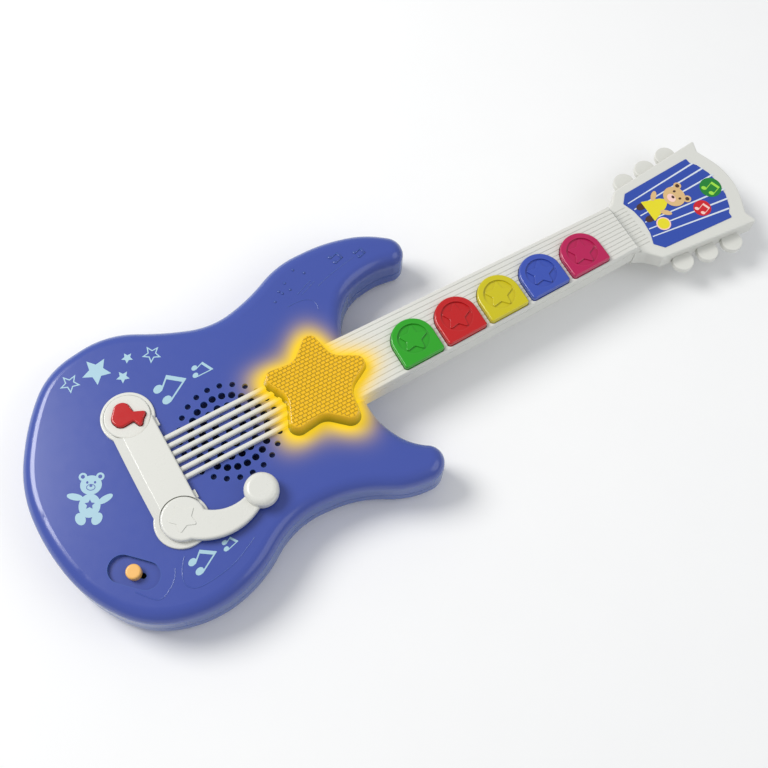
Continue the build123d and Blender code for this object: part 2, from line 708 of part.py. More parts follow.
label_half = [(label_start_u, 16.3), (18.9, 21.8), (68.0, 24.4), (68.2, 20.9), (71.2, 17.3), (74.4, 9.0),
              (75.4, 0.0)]
label_corners = [(u, v, 0.8) for u, v in label_half] + [(u, -v, 0.8) for u, v in reversed(label_half[:-1])]
label_corners += [(16.7, -9.0, 6.0), (17.8, 0.0, 12.0), (16.7, 9.0, 6.0)]
save("headstock_label", head_place * slab(rounded(label_corners), 0, label_t))

save("neck_screws", Compound(
    [body_screw(x, y, screw_well_depth, neck_back_z + neck_screw_grip - 0.5) for x, y in neck_screw_points]
    + [body_screw(x, y, neck_back_z + screw_well_depth, key_under_z - 0.7) for x, y in shell_screw_points]))
save("headstock_screws", Compound([
    head_place * small_screw(u, v, -head_thick, 8.0) for u, v in head_screw_points]))

# ---------------------------------------------------------------- fret keys, pad and board
key_top_z = neck_z + key_height
key_star_z = key_top_z - key_dish_depth
for i in range(key_count):
    x = key_centre(i)
    dish_y = key_top_y - key_width / 2
    cap = slab(key_outline(i, 0), key_low_z, key_top_z)
    cap = fillet(cap.edges().group_by(Axis.Z)[-1], key_edge_r)
    badge = slab(star(x, dish_y, key_star_tip, key_star_valley, 0.8, 1.0), key_star_z - 0.1,
                 key_top_z - key_star_drop)
    cap = cap - disc(x, dish_y, key_dish_r, key_star_z, far)
    cap += fillet(badge.edges().group_by(Axis.Z)[-1], 0.3)
    cap -= slab(key_outline(i, -key_wall), key_low_z - 1, key_star_z - key_wall)
    skirt = slab(key_outline(i, key_flange_w), key_low_z, key_low_z + key_flange_t) - slab(
        key_outline(i, -key_wall), key_low_z - 1, far)
    flat_y = -(neck_half(x + key_width / 2) - key_edge_gap)
    skirt &= block(-far, far, flat_y + 2.0, far, -far, far)
    plunger = disc(x, dish_y, 3.0, key_low_z, key_top_z - 2)
    plunger += block(x - 0.8, x + 0.8, dish_y - 11, dish_y + 11, key_low_z, key_top_z - 2)
    plunger += block(x - 11, x + 11, dish_y - 0.8, dish_y + 0.8, key_low_z, key_top_z - 2)
    save(f"fret_key_{i + 1}", cap + skirt + plunger)

board_x0 = key_first_x - key_width / 2 - key_board_end
board_x1 = key_centre(key_count - 1) + key_width / 2 + key_board_end
key_board = block(board_x0, board_x1, -key_board_half, key_board_half + 0.7, key_board_z, membrane_z)
membrane = block(board_x0 + 1, board_x1 - 1, 0.8 - key_board_half, key_board_half - 0.2, membrane_z,
                 membrane_z + membrane_t)
for i in range(key_count):
    membrane += disc(key_centre(i), key_top_y - key_width / 2, dome_r, membrane_z, key_stack_top)
for x, y in post_points:
    membrane -= disc(x, y, small_boss_r - 0.1, 0, far)
    key_board -= disc(x, y, small_screw_r + 0.2, 0, far)
for x, y in shell_screw_points:
    key_board -= disc(x, y, screw_boss_r + 0.3, 0, far)
    membrane -= disc(x, y, screw_boss_r + 0.3, 0, far)
save("key_rubber_pad", membrane)
save("key_circuit_board", key_board)

# ---------------------------------------------------------------- star lens and its lamp
lens = lens_block(0, face_z, face_z + star_height)
lens = fillet(lens.faces().sort_by(Axis.Z)[-1].edges(), 0.9)
lens -= lens_block(-star_wall, face_z - 0.5, face_z + star_height - star_wall)
lens -= slab(neck_plan(-0.15, neck_start_x - 0.5, neck_end_x), 0, neck_z + 0.15)
for x, y in lens_post_points:
    lens += disc(x, y, small_boss_r, inner_z, face_z + star_height - star_wall + 0.3)
    lens -= disc(x, y, small_screw_r + screw_gap, 0, face_z + 3)
save("star_lens", lens)


def fixed_board(spec, z, holes):
    x, y, length, width = spec
    plate = block(x - length / 2, x + length / 2, y - width / 2, y + width / 2, z - board_t, z)
    for hx, hy in holes:
        plate -= disc(hx, hy, small_screw_r + 0.2, 0, far)
    return plate


save("star_light_board", fixed_board(light_board, light_board_z, light_screw_points))
led_points = [(light_board[0] + 8 * math.cos(a), light_board[1] + 6.5 * math.sin(a))
              for a in [math.radians(90 * i + 45) for i in range(4)]]
leds = []
for x, y in led_points:
    bulb = disc(x, y, 1.5, light_board_z, light_board_z + 4.0) + disc(
        x, y, 1.9, light_board_z, light_board_z + 0.8)
    leds.append(fillet(bulb.edges().group_by(Axis.Z)[-1], 1.4))
save("star_lamps", Compound(leds))

# ---------------------------------------------------------------- strings, bridge and bow button
string_ys = [string_pitch * (i - (string_count - 1) / 2) for i in range(string_count)]
lens_clear = lens_block(0.3, face_z - 0.4, face_z + star_height - 1)
bars = block(string_start_x, string_start_x + 2.4, string_ys[0] - string_w / 2,
             string_ys[-1] + string_w / 2, face_z, face_z + string_h - 0.4)
for y in string_ys:
    bar = block(string_start_x, star_x, y - string_w / 2, y + string_w / 2, face_z, face_z + string_h)
    bar = fillet(bar.edges().filter_by(Axis.X).group_by(Axis.Z)[-1], 0.9)
    bars += bar - lens_clear
save("string_bars", bars)



def bar_outline(outer_x):
    """Bridge bar in plan, its outer side bowed a little."""
    return make_face([
        Line((bridge_right_x, -bridge_y), (bridge_right_x, bridge_y)),
        Line((bridge_right_x, bridge_y), (outer_x, bridge_y)),
        ThreePointArc((outer_x, bridge_y), (outer_x - 0.4, 0), (outer_x, -bridge_y)),
        Line((outer_x, -bridge_y), (bridge_right_x, -bridge_y))])


step_z = face_z + bridge_step_h
bar_z = face_z + bridge_bar_h
bridge = slab(bar_outline(bridge_left_x), face_z, step_z) + loft(
    [Pos(0, 0, step_z) * bar_outline(bridge_left_x), Pos(0, 0, bar_z) * bar_outline(bridge_ridge_x)],
    ruled=True)
bridge = fillet(bridge.edges().group_by(Axis.Z)[-1].filter_by(
    lambda e: abs(e.tangent_at(0.5).Y) > 0.9), 0.9)
for s in (1, -1):
    rim = disc(bridge_x, s * bridge_y, bridge_rim_r, face_z, face_z + bridge_rim_h)
    bridge += fillet(rim.edges().group_by(Axis.Z)[-1], 0.8)
bridge -= disc(bridge_x, bridge_y, bridge_disc_r + bridge_groove_w, face_z + bridge_rim_h - 0.4, far)
dome = disc(bridge_x, bridge_y, bridge_disc_r, face_z, bridge_top_z)
bridge += fillet(dome.edges().group_by(Axis.Z)[-1], 0.6)
for s in (1, -1):
    foot_y = s * bridge_foot_y
    bridge += block(bridge_right_x - 1, bridge_right_x + bridge_foot_l, foot_y - bridge_foot_w / 2,
                    foot_y + bridge_foot_w / 2, face_z, face_z + bridge_rim_h)
bridge -= disc(hub_x, hub_y, hub_r + hub_gap, hub_low_z - arm_under_gap, far)
bridge -= block(bridge_left_x + 2.6, bridge_right_x - bridge_wall, 15 - bridge_y, bridge_y - 14,
                face_z - 1, bar_z - bridge_wall - 1.0)
bridge -= block(string_start_x - 0.2, far, string_ys[0] - string_w / 2 - 0.15,
                string_ys[-1] + string_w / 2 + 0.15, face_z - 1, face_z + string_h + 0.1)
bridge -= disc(bridge_x, bridge_y, bow_flange_r + bow_flange_gap, face_z - 1, bridge_top_z - bridge_wall)
bridge -= slab(bow_outline(bow_gap), face_z, far)
bridge -= disc(hub_x, hub_y, arm_shank_r + arm_shank_gap, face_z - 1, far)
for x, y in bridge_post_points:
    bridge += disc(x, y, small_boss_r, inner_z, bar_z - 1)
    bridge -= disc(x, y, small_screw_r + screw_gap, 0, face_z + 3)
save("bridge_cover", bridge)

flange_top = bridge_top_z - bridge_wall - 0.2
bow = slab(bow_outline(0), flange_top - 0.5, bridge_top_z + bow_height)
bow = fillet(bow.edges().group_by(Axis.Z)[-1], bow_edge_r)
bow += disc(bridge_x, bridge_y, bow_flange_r, flange_top - bow_flange_t, flange_top)
bow_switch_top = bow_board_z + 3.1
bow += disc(bridge_x, bridge_y, bow_stem_r, bow_switch_top + bow_travel + 0.3, flange_top)
save("bow_button", bow)
bow_board_l = 2 * (bow_screw_out + 2.6)
save("bow_button_board", fixed_board((bridge_x, bridge_y, bow_board_l, 11), bow_board_z, bow_screw_points))
save("bow_button_switch", block(bridge_x - 3, bridge_x + 3, bridge_y - 3, bridge_y + 3, bow_board_z,
                                bow_switch_top - 0.8)
     + disc(bridge_x, bridge_y, 1.7, bow_board_z + 1, bow_switch_top))

# ---------------------------------------------------------------- whammy arm
arm_root_a = (hub_x + 10.9, hub_y + 0.6)
arm_tip_a = (arm_knob_x - 7.6, arm_knob_y + 2.2)
arm_tip_b = (arm_knob_x - 3.1, arm_knob_y - 6.4)
arm_root_b = (hub_x - 1.1, hub_y - 12.2)
arm_plan = make_face([
    ThreePointArc(arm_root_a, (hub_x + 24.4, hub_y - 6.1), arm_tip_a),
    Line(arm_tip_a, arm_tip_b),
    ThreePointArc(arm_tip_b, (hub_x + 18.9, hub_y - 19.6), arm_root_b),
    Line(arm_root_b, arm_root_a)]) + Pos(hub_x, hub_y) * Circle(hub_r)
arm = slab(arm_plan, hub_low_z, hub_top_z)
arm = fillet(arm.edges().group_by(Axis.Z)[-1], arm_edge_r)
knob = disc(arm_knob_x, arm_knob_y, arm_knob_r, face_z + arm_knob_low, face_z + arm_knob_high)
knob = fillet(knob.edges().group_by(Axis.Z)[-1], arm_knob_edge_r)
arm += fillet(knob.edges().group_by(Axis.Z)[0], arm_knob_under_r)
arm += slab(star(hub_x, hub_y, 8.6, 4.6, 0.8, 1.2, 20), hub_top_z - 0.5, hub_top_z + hub_star_h)
shank_step_z = inner_z - 1.0
washer_low_z = tray_roof_z + 0.2 + small_head_h
shank_low_z = washer_low_z + washer_t
arm += disc(hub_x, hub_y, arm_shank_r, shank_step_z, hub_low_z + 1)
arm += disc(hub_x, hub_y, arm_shank_r - 1.0, shank_low_z, shank_step_z + 1)
arm -= disc(hub_x, hub_y, small_screw_r + screw_gap, 0, inner_z + 2)
save("whammy_arm", arm)
save("whammy_washer", disc(hub_x, hub_y, washer_r, washer_low_z, shank_low_z)
     - disc(hub_x, hub_y, small_screw_r + screw_gap, 0, far))
arm_screw_low_z = washer_low_z - small_head_h
save("whammy_screw", small_screw(hub_x, hub_y, arm_screw_low_z, inner_z - 0.4 - arm_screw_low_z))
spring_low_z = shank_low_z + spring_gap + spring_wire_r
spring_path = Helix(spring_pitch, inner_z - spring_gap - spring_wire_r - spring_low_z, spring_r)
coil = sweep(Plane(origin=spring_path @ 0, z_dir=spring_path % 0) * Circle(spring_wire_r), path=spring_path)
save("whammy_spring", Pos(hub_x, hub_y, spring_low_z) * coil)

# ---------------------------------------------------------------- power switch
def along_slot(shape):
    return Pos(slot_mid.X, slot_mid.Y, 0) * Rot(0, 0, switch_angle) * shape


rest_u = -switch_travel / 2
switch_plate_t = 1.2
cap = disc(rest_u, 0, switch_knob_r, dish_floor_z + 0.3, face_z + switch_knob_h)
cap = fillet(cap.edges().group_by(Axis.Z)[-1], 1.1)
cap -= block(rest_u - 0.35, rest_u + 0.35, -far, far, face_z + switch_knob_h - 0.5, far)
cap += disc(rest_u, 0, switch_stem_r, switch_plate_z - 2.6, dish_floor_z + 1)
save("power_switch_knob", along_slot(cap))
plate_half = switch_screw_out + 3
plate = block(-plate_half, plate_half, -4.0, 4.0, switch_plate_z - switch_plate_t, switch_plate_z)
for s in (1, -1):
    plate -= disc(s * switch_screw_out, 0, small_screw_r + 0.2, 0, far)
plate += block(-6.0, 6.0, -3.4, 3.4, switch_plate_z - 6.0, switch_plate_z)
channel = switch_travel / 2 + switch_stem_r + 0.4
plate -= block(-channel, channel, -switch_stem_r - 0.4, switch_stem_r + 0.4, switch_plate_z - 3.0, far)
save("power_switch_body", along_slot(plate))

# ---------------------------------------------------------------- loudspeaker
flange_z = inner_z - 0.1
flange_low = flange_z - speaker_flange_t + 0.1
basket_low = flange_z - speaker_depth + 6.0


def turned(points):
    return revolve(make_face(Plane.XZ * Polyline(*points, close=True)), Axis.Z)


basket_slope = (flange_z - basket_low - 1.2) / (speaker_r - 19.0)
save("speaker_frame", turned([
    (speaker_r - 4.0, flange_low), (speaker_r, flange_low), (speaker_r, flange_z),
    (speaker_r - 3.0, flange_z), (16.0, basket_low + 1.2), (4.0, basket_low + 1.2), (4.0, basket_low),
    (17.0, basket_low)]))
save("speaker_cone", turned([
    (speaker_r - 3.4, flange_z - 0.4 * basket_slope), (speaker_r - 5.0, flange_z - 0.2),
    (speaker_r - 7.0, flange_z - 1.2),
    (8.0, flange_z - 7.6), (0, flange_z - 4.6), (0, flange_z - 5.4), (8.2, flange_z - 8.4),
    (speaker_r - 6.8, flange_z - 1.9), (speaker_r - 5.0, flange_z - 0.9)]))
save("speaker_magnet", disc(0, 0, 14.0, basket_low - 5.0, basket_low)
     + disc(0, 0, 11.0, basket_low - 6.2, basket_low - 5.0))
clamp = disc(0, 0, speaker_r + 2.5, flange_low - clamp_t, flange_low) - disc(
    0, 0, speaker_r - clamp_rim, 0, far)
for x, y in clamp_points:
    clamp += disc(x, y, small_boss_r + 1.4, flange_low - clamp_t, flange_low)
for x, y in clamp_points:
    clamp -= disc(x, y, small_screw_r + 0.2, 0, far)
save("speaker_clamp_ring", clamp)

# ---------------------------------------------------------------- main circuit board
save("main_circuit_board", fixed_board(main_board, main_board_z, main_screw_points))
board_low = main_board_z - board_t
save("sound_chip", Pos(main_board[0] + 6, main_board[1], board_low) * (
    Sphere(6.0) & block(-6, 6, -6, 6, -6, 0) & Box(14, 14, 3.0)))
save("board_parts", Compound(
    [disc(main_board[0] + dx, main_board[1] + dy, 2.5, board_low - 7.0, board_low)
     for dx, dy in ((-20, 3), (-13, -4))]
    + [block(main_board[0] + dx - 1.6, main_board[0] + dx + 1.6, main_board[1] - 0.8, main_board[1] + 0.8,
             board_low - 0.8, board_low) for dx in (18, 22, 26)]))

# ---------------------------------------------------------------- small screws and wires
small_screws = []
for points, z, length in ((clamp_points, flange_low - clamp_t, 3.4),
                          (light_screw_points, light_board_z - board_t, 5.0),
                          (main_screw_points, main_board_z - board_t, 7.0),
                          (bow_screw_points, bow_board_z - board_t, 7.0),
                          (switch_screw_points, switch_plate_z - switch_plate_t, 4.4),
                          (post_points, key_board_z, 6.0),
                          (lens_post_points + bridge_post_points, inner_z, 5.0)):
    for x, y in points:
        small_screws.append(small_screw(x, y, z - small_head_h, length + small_head_h))
save("board_screws", Compound(small_screws))

wire_r = 0.6
save("speaker_wires", Compound([
    tube([(x, -15.2, basket_low - 2.0), (x, -22.0, basket_low - 2.0), (x, -30.0, board_low - 1.0),
          (x, main_board[1] + main_board[3] / 2 + 0.7, board_low - 1.0)], wire_r, 2.5)
    for x in (-2.0, 2.0)]))
save("battery_wires", Compound([
    tube([(tray_x + tray_half_x + tray_wall + 0.7, y, 9.0), (-26.0, y, 9.0), (-20.0, y - 8.0, 12.0),
          (-20.0 + dx, -34.0, 15.0)], wire_r, 3.0)
    for y, dx in ((-18.0, 0.0), (-22.0, 3.0))]))
print(len(written), "nodes")
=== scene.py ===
"""Looks of the toy electric guitar: finishes for its moulded parts, its prints, and the studio."""

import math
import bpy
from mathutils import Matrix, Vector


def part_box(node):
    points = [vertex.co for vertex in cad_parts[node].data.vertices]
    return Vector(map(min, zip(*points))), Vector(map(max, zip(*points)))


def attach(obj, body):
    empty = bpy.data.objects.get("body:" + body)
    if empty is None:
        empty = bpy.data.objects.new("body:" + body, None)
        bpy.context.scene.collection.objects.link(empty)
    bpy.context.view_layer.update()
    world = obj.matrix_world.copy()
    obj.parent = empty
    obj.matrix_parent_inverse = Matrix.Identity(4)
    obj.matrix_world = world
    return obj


bl_info = {
    "name": "Toy Electric Guitar",
    "version": (1, 0, 0),
    "blender": (4, 5, 0),
    "location": "View3D > Sidebar > Toy Guitar",
    "description": "Finishes, prints and studio for the toy electric guitar",
    "category": "Object",
}

import bmesh
import bpy
from bpy.props import FloatProperty, FloatVectorProperty, PointerProperty
from bpy.types import Operator, Panel, PropertyGroup
from mathutils import Matrix, Vector

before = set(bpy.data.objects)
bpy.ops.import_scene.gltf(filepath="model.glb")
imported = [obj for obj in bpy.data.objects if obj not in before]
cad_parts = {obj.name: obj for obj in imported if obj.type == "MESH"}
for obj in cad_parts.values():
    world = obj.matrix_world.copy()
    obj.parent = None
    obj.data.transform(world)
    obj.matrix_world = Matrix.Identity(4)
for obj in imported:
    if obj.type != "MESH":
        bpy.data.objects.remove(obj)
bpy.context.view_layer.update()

MM = 0.001
BODY = "guitar"
FACE_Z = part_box("body_front_shell")[1].z
LABEL_START = 14.0       # label's near end beyond the nut, mm
STAR_POINTS = 5
STAR_MEAN_R = 0.0262     # the lit star's outline seen as a circle with a five-fold swell
STAR_SWELL = 0.0048
STAR_OFFSET = 0.0025     # its middle lies this far towards the bridge from its box's centre
SPILL_DEPTH = 0.012      # the painted glow reaches this far down from the playing face
SPILL_POWER = 1.6        # shape of its fall over the reach
SPILL_RATE = -1.3
RIM_REFLECTION_POWER = 2.2          # shape and strength of the painted cyan reflection towards the body's rim
RIM_REFLECTION_SHARE = 0.85
LENS_BRICK = 1.35        # length of a prism brick over its row's pitch
LENS_MORTAR = 0.0003
LENS_BUMP = 0.0010
LENS_TOP_FACING = 0.9    # faces that look up more than this carry the prisms
RIDGE_SINK = 0.45        # share of a ridge's radius that its middle lies under the face
RAISED_NOTE = 0.35       # moulded notes and dots stand this high, mm
PAINTED_GLOW_BASE = (0.30, 0.20, 0.004)    # colour painted onto the plastic right beside the star, under its painted glow
FLOOR_GAP = 0.0002       # floor below the flat back, so that the two don't coincide


# ------------------------------------------------------------------ settings
def colour(name, description, value):
    return FloatVectorProperty(name=name, description=description, default=value, size=3,
                               min=0.0, max=1.0, subtype="COLOR")


def length(name, description, value):
    return FloatProperty(name=name, description=description, default=value, min=0.0,
                         unit="LENGTH", subtype="DISTANCE")


class GuitarColours(PropertyGroup):
    """Colours of the mouldings and prints"""
    body: colour("Body", "Blue of the body shells and battery door", (0.046, 0.078, 0.360))
    white: colour("White parts", "Neck, bridge, strings and arm", (0.70, 0.70, 0.655))
    green: colour("Green key", "First fret key", (0.016, 0.34, 0.008))
    red: colour("Red key", "Second fret key and bow button", (0.50, 0.002, 0.004))
    yellow: colour("Yellow key", "Third fret key", (0.58, 0.50, 0.002))
    blue: colour("Blue key", "Fourth fret key", (0.034, 0.075, 0.42))
    magenta: colour("Magenta key", "Fifth fret key", (0.46, 0.002, 0.080))
    amber: colour("Star lens", "Translucent star", (0.74, 0.41, 0.002))
    glow: colour("Lamp glow", "Light of the lamps behind the star", (1.0, 0.66, 0.01))
    orange: colour("Power knob", "Sliding power knob", (0.86, 0.47, 0.13))
    print_pale: colour("Pale print", "Stars and notes on the body", (0.36, 0.56, 0.66))
    label: colour("Label blue", "Ground of the headstock label", (0.026, 0.070, 0.40))


class GuitarSizes(PropertyGroup):
    """Sizes of the prints, ridges and moulded textures"""
    print_lift: length("Print lift", "Height of the pad prints over the surface", 0.00005)
    ridge_radius: length("Ridge radius", "Half width of the moulded lines on the body", 0.00042)
    lens_row: length("Lens row", "Pitch of the prism rows in the star lens", 0.0021)
    grain: length("Grain", "Size of the fine moulding grain", 0.0006)
    glow_reach: length("Glow reach", "How far the star lights what is round it", 0.0098)
    glow_power: FloatProperty(name="Glow power", description="Strength of the lit star", default=0.75,
                              min=0.0)


class GuitarStudio(PropertyGroup):
    """Camera and lights"""
    camera_at: FloatVectorProperty(name="Camera place", description="Where the camera stands",
                                   default=(-0.0499, -0.2242, 0.6228), size=3, subtype="XYZ",
                                   unit="LENGTH")
    aim_at: FloatVectorProperty(name="Aim", description="Point on the body face that it looks at",
                                default=(0.0894, -0.0177, 0.032), size=3, subtype="XYZ",
                                unit="LENGTH")
    camera_up: FloatVectorProperty(name="Camera up", description="Direction shown upwards",
                                   default=(0.451, 0.804, 0.387), size=3, subtype="XYZ")
    focal: FloatProperty(name="Focal length", description="Lens in millimetres on a 36 mm sensor",
                         default=52.67, min=10.0)
    key_watts: FloatProperty(name="Key light", description="Large soft light", default=15.6,
                             min=0.0, unit="POWER")
    fill_watts: FloatProperty(name="Fill light", description="Low soft light", default=3.6,
                              min=0.0, unit="POWER")
    floor: colour("Floor", "Pale floor", (0.93, 0.93, 0.93))


# ------------------------------------------------------------------ shader node helpers
class Tree:
    """Adds nodes to a shader tree and joins them."""

    def __init__(self, tree):
        self.tree = tree

    def add(self, kind, values=None, **settings):
        made = self.tree.nodes.new(kind)
        for name, value in settings.items():
            setattr(made, name, value)
        for name, value in (values or {}).items():
            if isinstance(value, bpy.types.NodeSocket):
                self.tree.links.new(value, made.inputs[name])
            else:
                made.inputs[name].default_value = value
        return made

    def maths(self, kind, a, b=0.0, clamp=False):
        made = self.add("ShaderNodeMath", {0: a, 1: b}, operation=kind, use_clamp=clamp)
        return made.outputs[0]

    def mix(self, share, a, b, kind="MIX"):
        made = self.add("ShaderNodeMix", data_type="RGBA", blend_type=kind)
        for socket, value in ((made.inputs[0], share), (made.inputs[6], a), (made.inputs[7], b)):
            if isinstance(value, bpy.types.NodeSocket):
                self.tree.links.new(value, socket)
            elif socket.type == "RGBA":
                socket.default_value = (*value[:3], 1.0)
            else:
                socket.default_value = value
        return made.outputs[2]


def new_group(name, inputs, outputs):
    """Shader node group with named sockets; returns it with its inner tree's ends."""
    group = bpy.data.node_groups.new(name, "ShaderNodeTree")
    for label, kind, value in inputs:
        socket = group.interface.new_socket(name=label, in_out="INPUT", socket_type=kind)
        socket.default_value = value
    for label, kind in outputs:
        group.interface.new_socket(name=label, in_out="OUTPUT", socket_type=kind)
    start = group.nodes.new("NodeGroupInput")
    end = group.nodes.new("NodeGroupOutput")
    return group, Tree(group), start, end


def grain_group():
    """Moulding grain: a fine height, a slow colour drift and a slight change of gloss."""
    group, tree, start, end = new_group(
        "Moulding Grain",
        [("Size", "NodeSocketFloat", 0.0006), ("Drift", "NodeSocketFloat", 0.04),
         ("Gloss", "NodeSocketFloat", 0.25), ("Gloss Change", "NodeSocketFloat", 0.06)],
        [("Height", "NodeSocketFloat"), ("Tone", "NodeSocketFloat"), ("Roughness", "NodeSocketFloat")])
    place = tree.add("ShaderNodeTexCoord").outputs["Object"]
    scale = tree.maths("DIVIDE", 1.0, start.outputs["Size"])
    fine = tree.add("ShaderNodeTexNoise", {"Vector": place, "Scale": scale, "Detail": 3.0})
    slow = tree.add("ShaderNodeTexNoise", {"Vector": place, "Scale": 22.0, "Detail": 4.0})
    scuff = tree.add("ShaderNodeTexNoise", {"Vector": place, "Scale": 160.0, "Detail": 5.0,
                                            "Roughness": 0.65})
    centred = tree.maths("SUBTRACT", slow.outputs["Fac"], 0.5)
    tone = tree.maths("ADD", tree.maths("MULTIPLY", centred, start.outputs["Drift"]), 1.0)
    scuffs_and_edge_highlight = tree.maths("SUBTRACT", scuff.outputs["Fac"], 0.5)
    rough = tree.maths("ADD", tree.maths("MULTIPLY", scuffs_and_edge_highlight, start.outputs["Gloss Change"]),
                       start.outputs["Gloss"], clamp=True)
    group.links.new(fine.outputs["Fac"], end.inputs["Height"])
    group.links.new(tone, end.inputs["Tone"])
    group.links.new(rough, end.inputs["Roughness"])
    return group


def edge_group():
    """Mask that is white along convex and concave edges, where a highlight is painted."""
    group, tree, start, end = new_group(
        "Handled Edges", [("Width", "NodeSocketFloat", 0.0006), ("Amount", "NodeSocketFloat", 1.0)],
        [("Mask", "NodeSocketFloat")])
    bevel = tree.add("ShaderNodeBevel", samples=4)
    group.links.new(start.outputs["Width"], bevel.inputs["Radius"])
    geometry = tree.add("ShaderNodeNewGeometry")
    dot = tree.add("ShaderNodeVectorMath", operation="DOT_PRODUCT")
    group.links.new(bevel.outputs["Normal"], dot.inputs[0])
    group.links.new(geometry.outputs["Normal"], dot.inputs[1])
    turned = tree.maths("SUBTRACT", 1.0, dot.outputs["Value"])
    spread = tree.maths("MULTIPLY", turned, 4.0, clamp=True)
    mask = tree.maths("MULTIPLY", spread, start.outputs["Amount"], clamp=True)
    group.links.new(mask, end.inputs["Mask"])
    return group


def glow_group(centre, reach):
    """Mask of the glow painted round the star: white at the lens's outline, fading away from it."""
    group, tree, start, end = new_group(
        "Star Spill", [("Reach", "NodeSocketFloat", reach)], [("Mask", "NodeSocketFloat")])
    place = tree.add("ShaderNodeTexCoord").outputs["Object"]
    moved = tree.add("ShaderNodeVectorMath", {0: place, 1: centre}, operation="SUBTRACT")
    parts = tree.add("ShaderNodeSeparateXYZ", {0: moved.outputs[0]})
    angle = tree.maths("ARCTAN2", parts.outputs["Y"], parts.outputs["X"])
    points = tree.maths("COSINE", tree.maths("MULTIPLY", angle, float(STAR_POINTS)))
    edge = tree.maths("ADD", tree.maths("MULTIPLY", points, STAR_SWELL), STAR_MEAN_R)
    across = tree.maths("POWER", tree.maths("ADD", tree.maths("POWER", parts.outputs["X"], 2.0),
                                            tree.maths("POWER", parts.outputs["Y"], 2.0)), 0.5)
    beyond = tree.maths("MAXIMUM", tree.maths("SUBTRACT", across, edge), 0.0)
    share = tree.maths("DIVIDE", beyond, start.outputs["Reach"])
    shaped = tree.maths("MULTIPLY", tree.maths("POWER", share, SPILL_POWER), SPILL_RATE)
    fall = tree.maths("EXPONENT", shaped)
    height = tree.maths("GREATER_THAN", parts.outputs["Z"], -SPILL_DEPTH)
    group.links.new(tree.maths("MULTIPLY", fall, height), end.inputs["Mask"])
    return group


def grouped(tree, group, values=None):
    made = tree.add("ShaderNodeGroup", node_tree=group)
    for name, value in (values or {}).items():
        made.inputs[name].default_value = value
    return made


def blank(name):
    """New material with an empty Principled shader."""
    material = bpy.data.materials.new(name)
    material.use_nodes = True
    tree = Tree(material.node_tree)
    shader = material.node_tree.nodes["Principled BSDF"]
    return material, tree, shader


def join(tree, a, b):
    tree.tree.links.new(a, b)


def moulded(name, base, gloss=0.26, coat=0.0, grain=0.02, drift=0.06, edge=0.10, spill=False, size=None,
            edge_highlight_tint=None):
    """Injection-moulded plastic with grain, colour drift, a painted highlight along its edges and, with
    spill, the star's painted glow.
    """
    settings = bpy.context.scene.guitar_sizes
    colours = bpy.context.scene.guitar_colours
    material, tree, shader = blank(name)
    grained = grouped(tree, bpy.data.node_groups["Moulding Grain"],
                      {"Size": size or settings.grain, "Drift": drift, "Gloss": gloss, "Gloss Change": 0.10})
    edge_highlight_mask = grouped(tree, bpy.data.node_groups["Handled Edges"], {"Width": 0.0007, "Amount": edge})
    toned = tree.mix(1.0, tuple(base), (1, 1, 1), "MULTIPLY")
    tone_node = toned.node
    join(tree, grained.outputs["Tone"], tone_node.inputs[7])
    # painted highlight: edges are lightened towards this colour, as if they caught the light
    light = edge_highlight_tint or tuple(min(1.0, c * 1.25 + 0.10) for c in base)
    scuffs_and_edge_highlight = tree.mix(edge_highlight_mask.outputs["Mask"], toned, light)
    join(tree, grained.outputs["Roughness"], shader.inputs["Roughness"])
    bump = tree.add("ShaderNodeBump", {"Strength": grain * 10, "Distance": 0.00004,
                                       "Height": grained.outputs["Height"]})
    join(tree, bump.outputs["Normal"], shader.inputs["Normal"])
    shader.inputs["IOR"].default_value = 1.5
    shader.inputs["Coat Weight"].default_value = coat
    shader.inputs["Coat Roughness"].default_value = 0.06
    shown = scuffs_and_edge_highlight
    # painted glow of the star: near the lens the base colour turns dark amber and the surface emits the lamp
    # glow colour
    if spill:
        lit = grouped(tree, bpy.data.node_groups["Star Spill"], {"Reach": settings.glow_reach})
        glow = tree.mix(lit.outputs["Mask"], (0, 0, 0), tuple(colours.glow))
        join(tree, glow, shader.inputs["Emission Color"])
        shown = tree.mix(lit.outputs["Mask"], scuffs_and_edge_highlight, PAINTED_GLOW_BASE)
        shader.inputs["Emission Strength"].default_value = settings.glow_power
    join(tree, shown, shader.inputs["Base Color"])
    return material


def dress(material, *names):
    """Gives a material to CAD nodes."""
    for name in names:
        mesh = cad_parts[name].data
        mesh.materials.clear()
        mesh.materials.append(material)


# ------------------------------------------------------------------ shape helpers
def flat_star(mesh, x, y, radius, turn=0.0, waist=0.48, level=0.0, slot=0):
    """Filled five-pointed star."""
    made = bmesh.ops.create_circle(mesh, cap_ends=True, segments=10, radius=1.0)["verts"]
    for i, vert in enumerate(made):
        angle = turn + math.tau * i / 10
        reach = radius if i % 2 == 0 else radius * waist
        vert.co = (x + reach * math.cos(angle), y + reach * math.sin(angle), level)
    return paint(made, slot)


def flat_ring_star(mesh, x, y, radius, line, turn=0.0, level=0.0, slot=0):
    """Outline of a five-pointed star."""
    made = flat_star(mesh, x, y, radius, turn, 0.45, level, slot)
    face = made[0].link_faces[0]
    bmesh.ops.inset_individual(mesh, faces=[face], thickness=line, use_even_offset=True)
    bmesh.ops.delete(mesh, geom=[face], context="FACES_ONLY")


def flat_disc(mesh, x, y, radius, stretch=1.0, turn=0.0, level=0.0, slot=0, segments=28):
    """Filled round or oval; stretch lengthens it along its own first axis."""
    made = bmesh.ops.create_circle(mesh, cap_ends=True, segments=segments, radius=radius)["verts"]
    place = Matrix.Translation((x, y, level)) @ Matrix.Rotation(turn, 4, "Z") @ Matrix.Diagonal(
        (stretch, 1.0, 1.0, 1.0))
    bmesh.ops.transform(mesh, matrix=place, verts=made)
    return paint(made, slot)


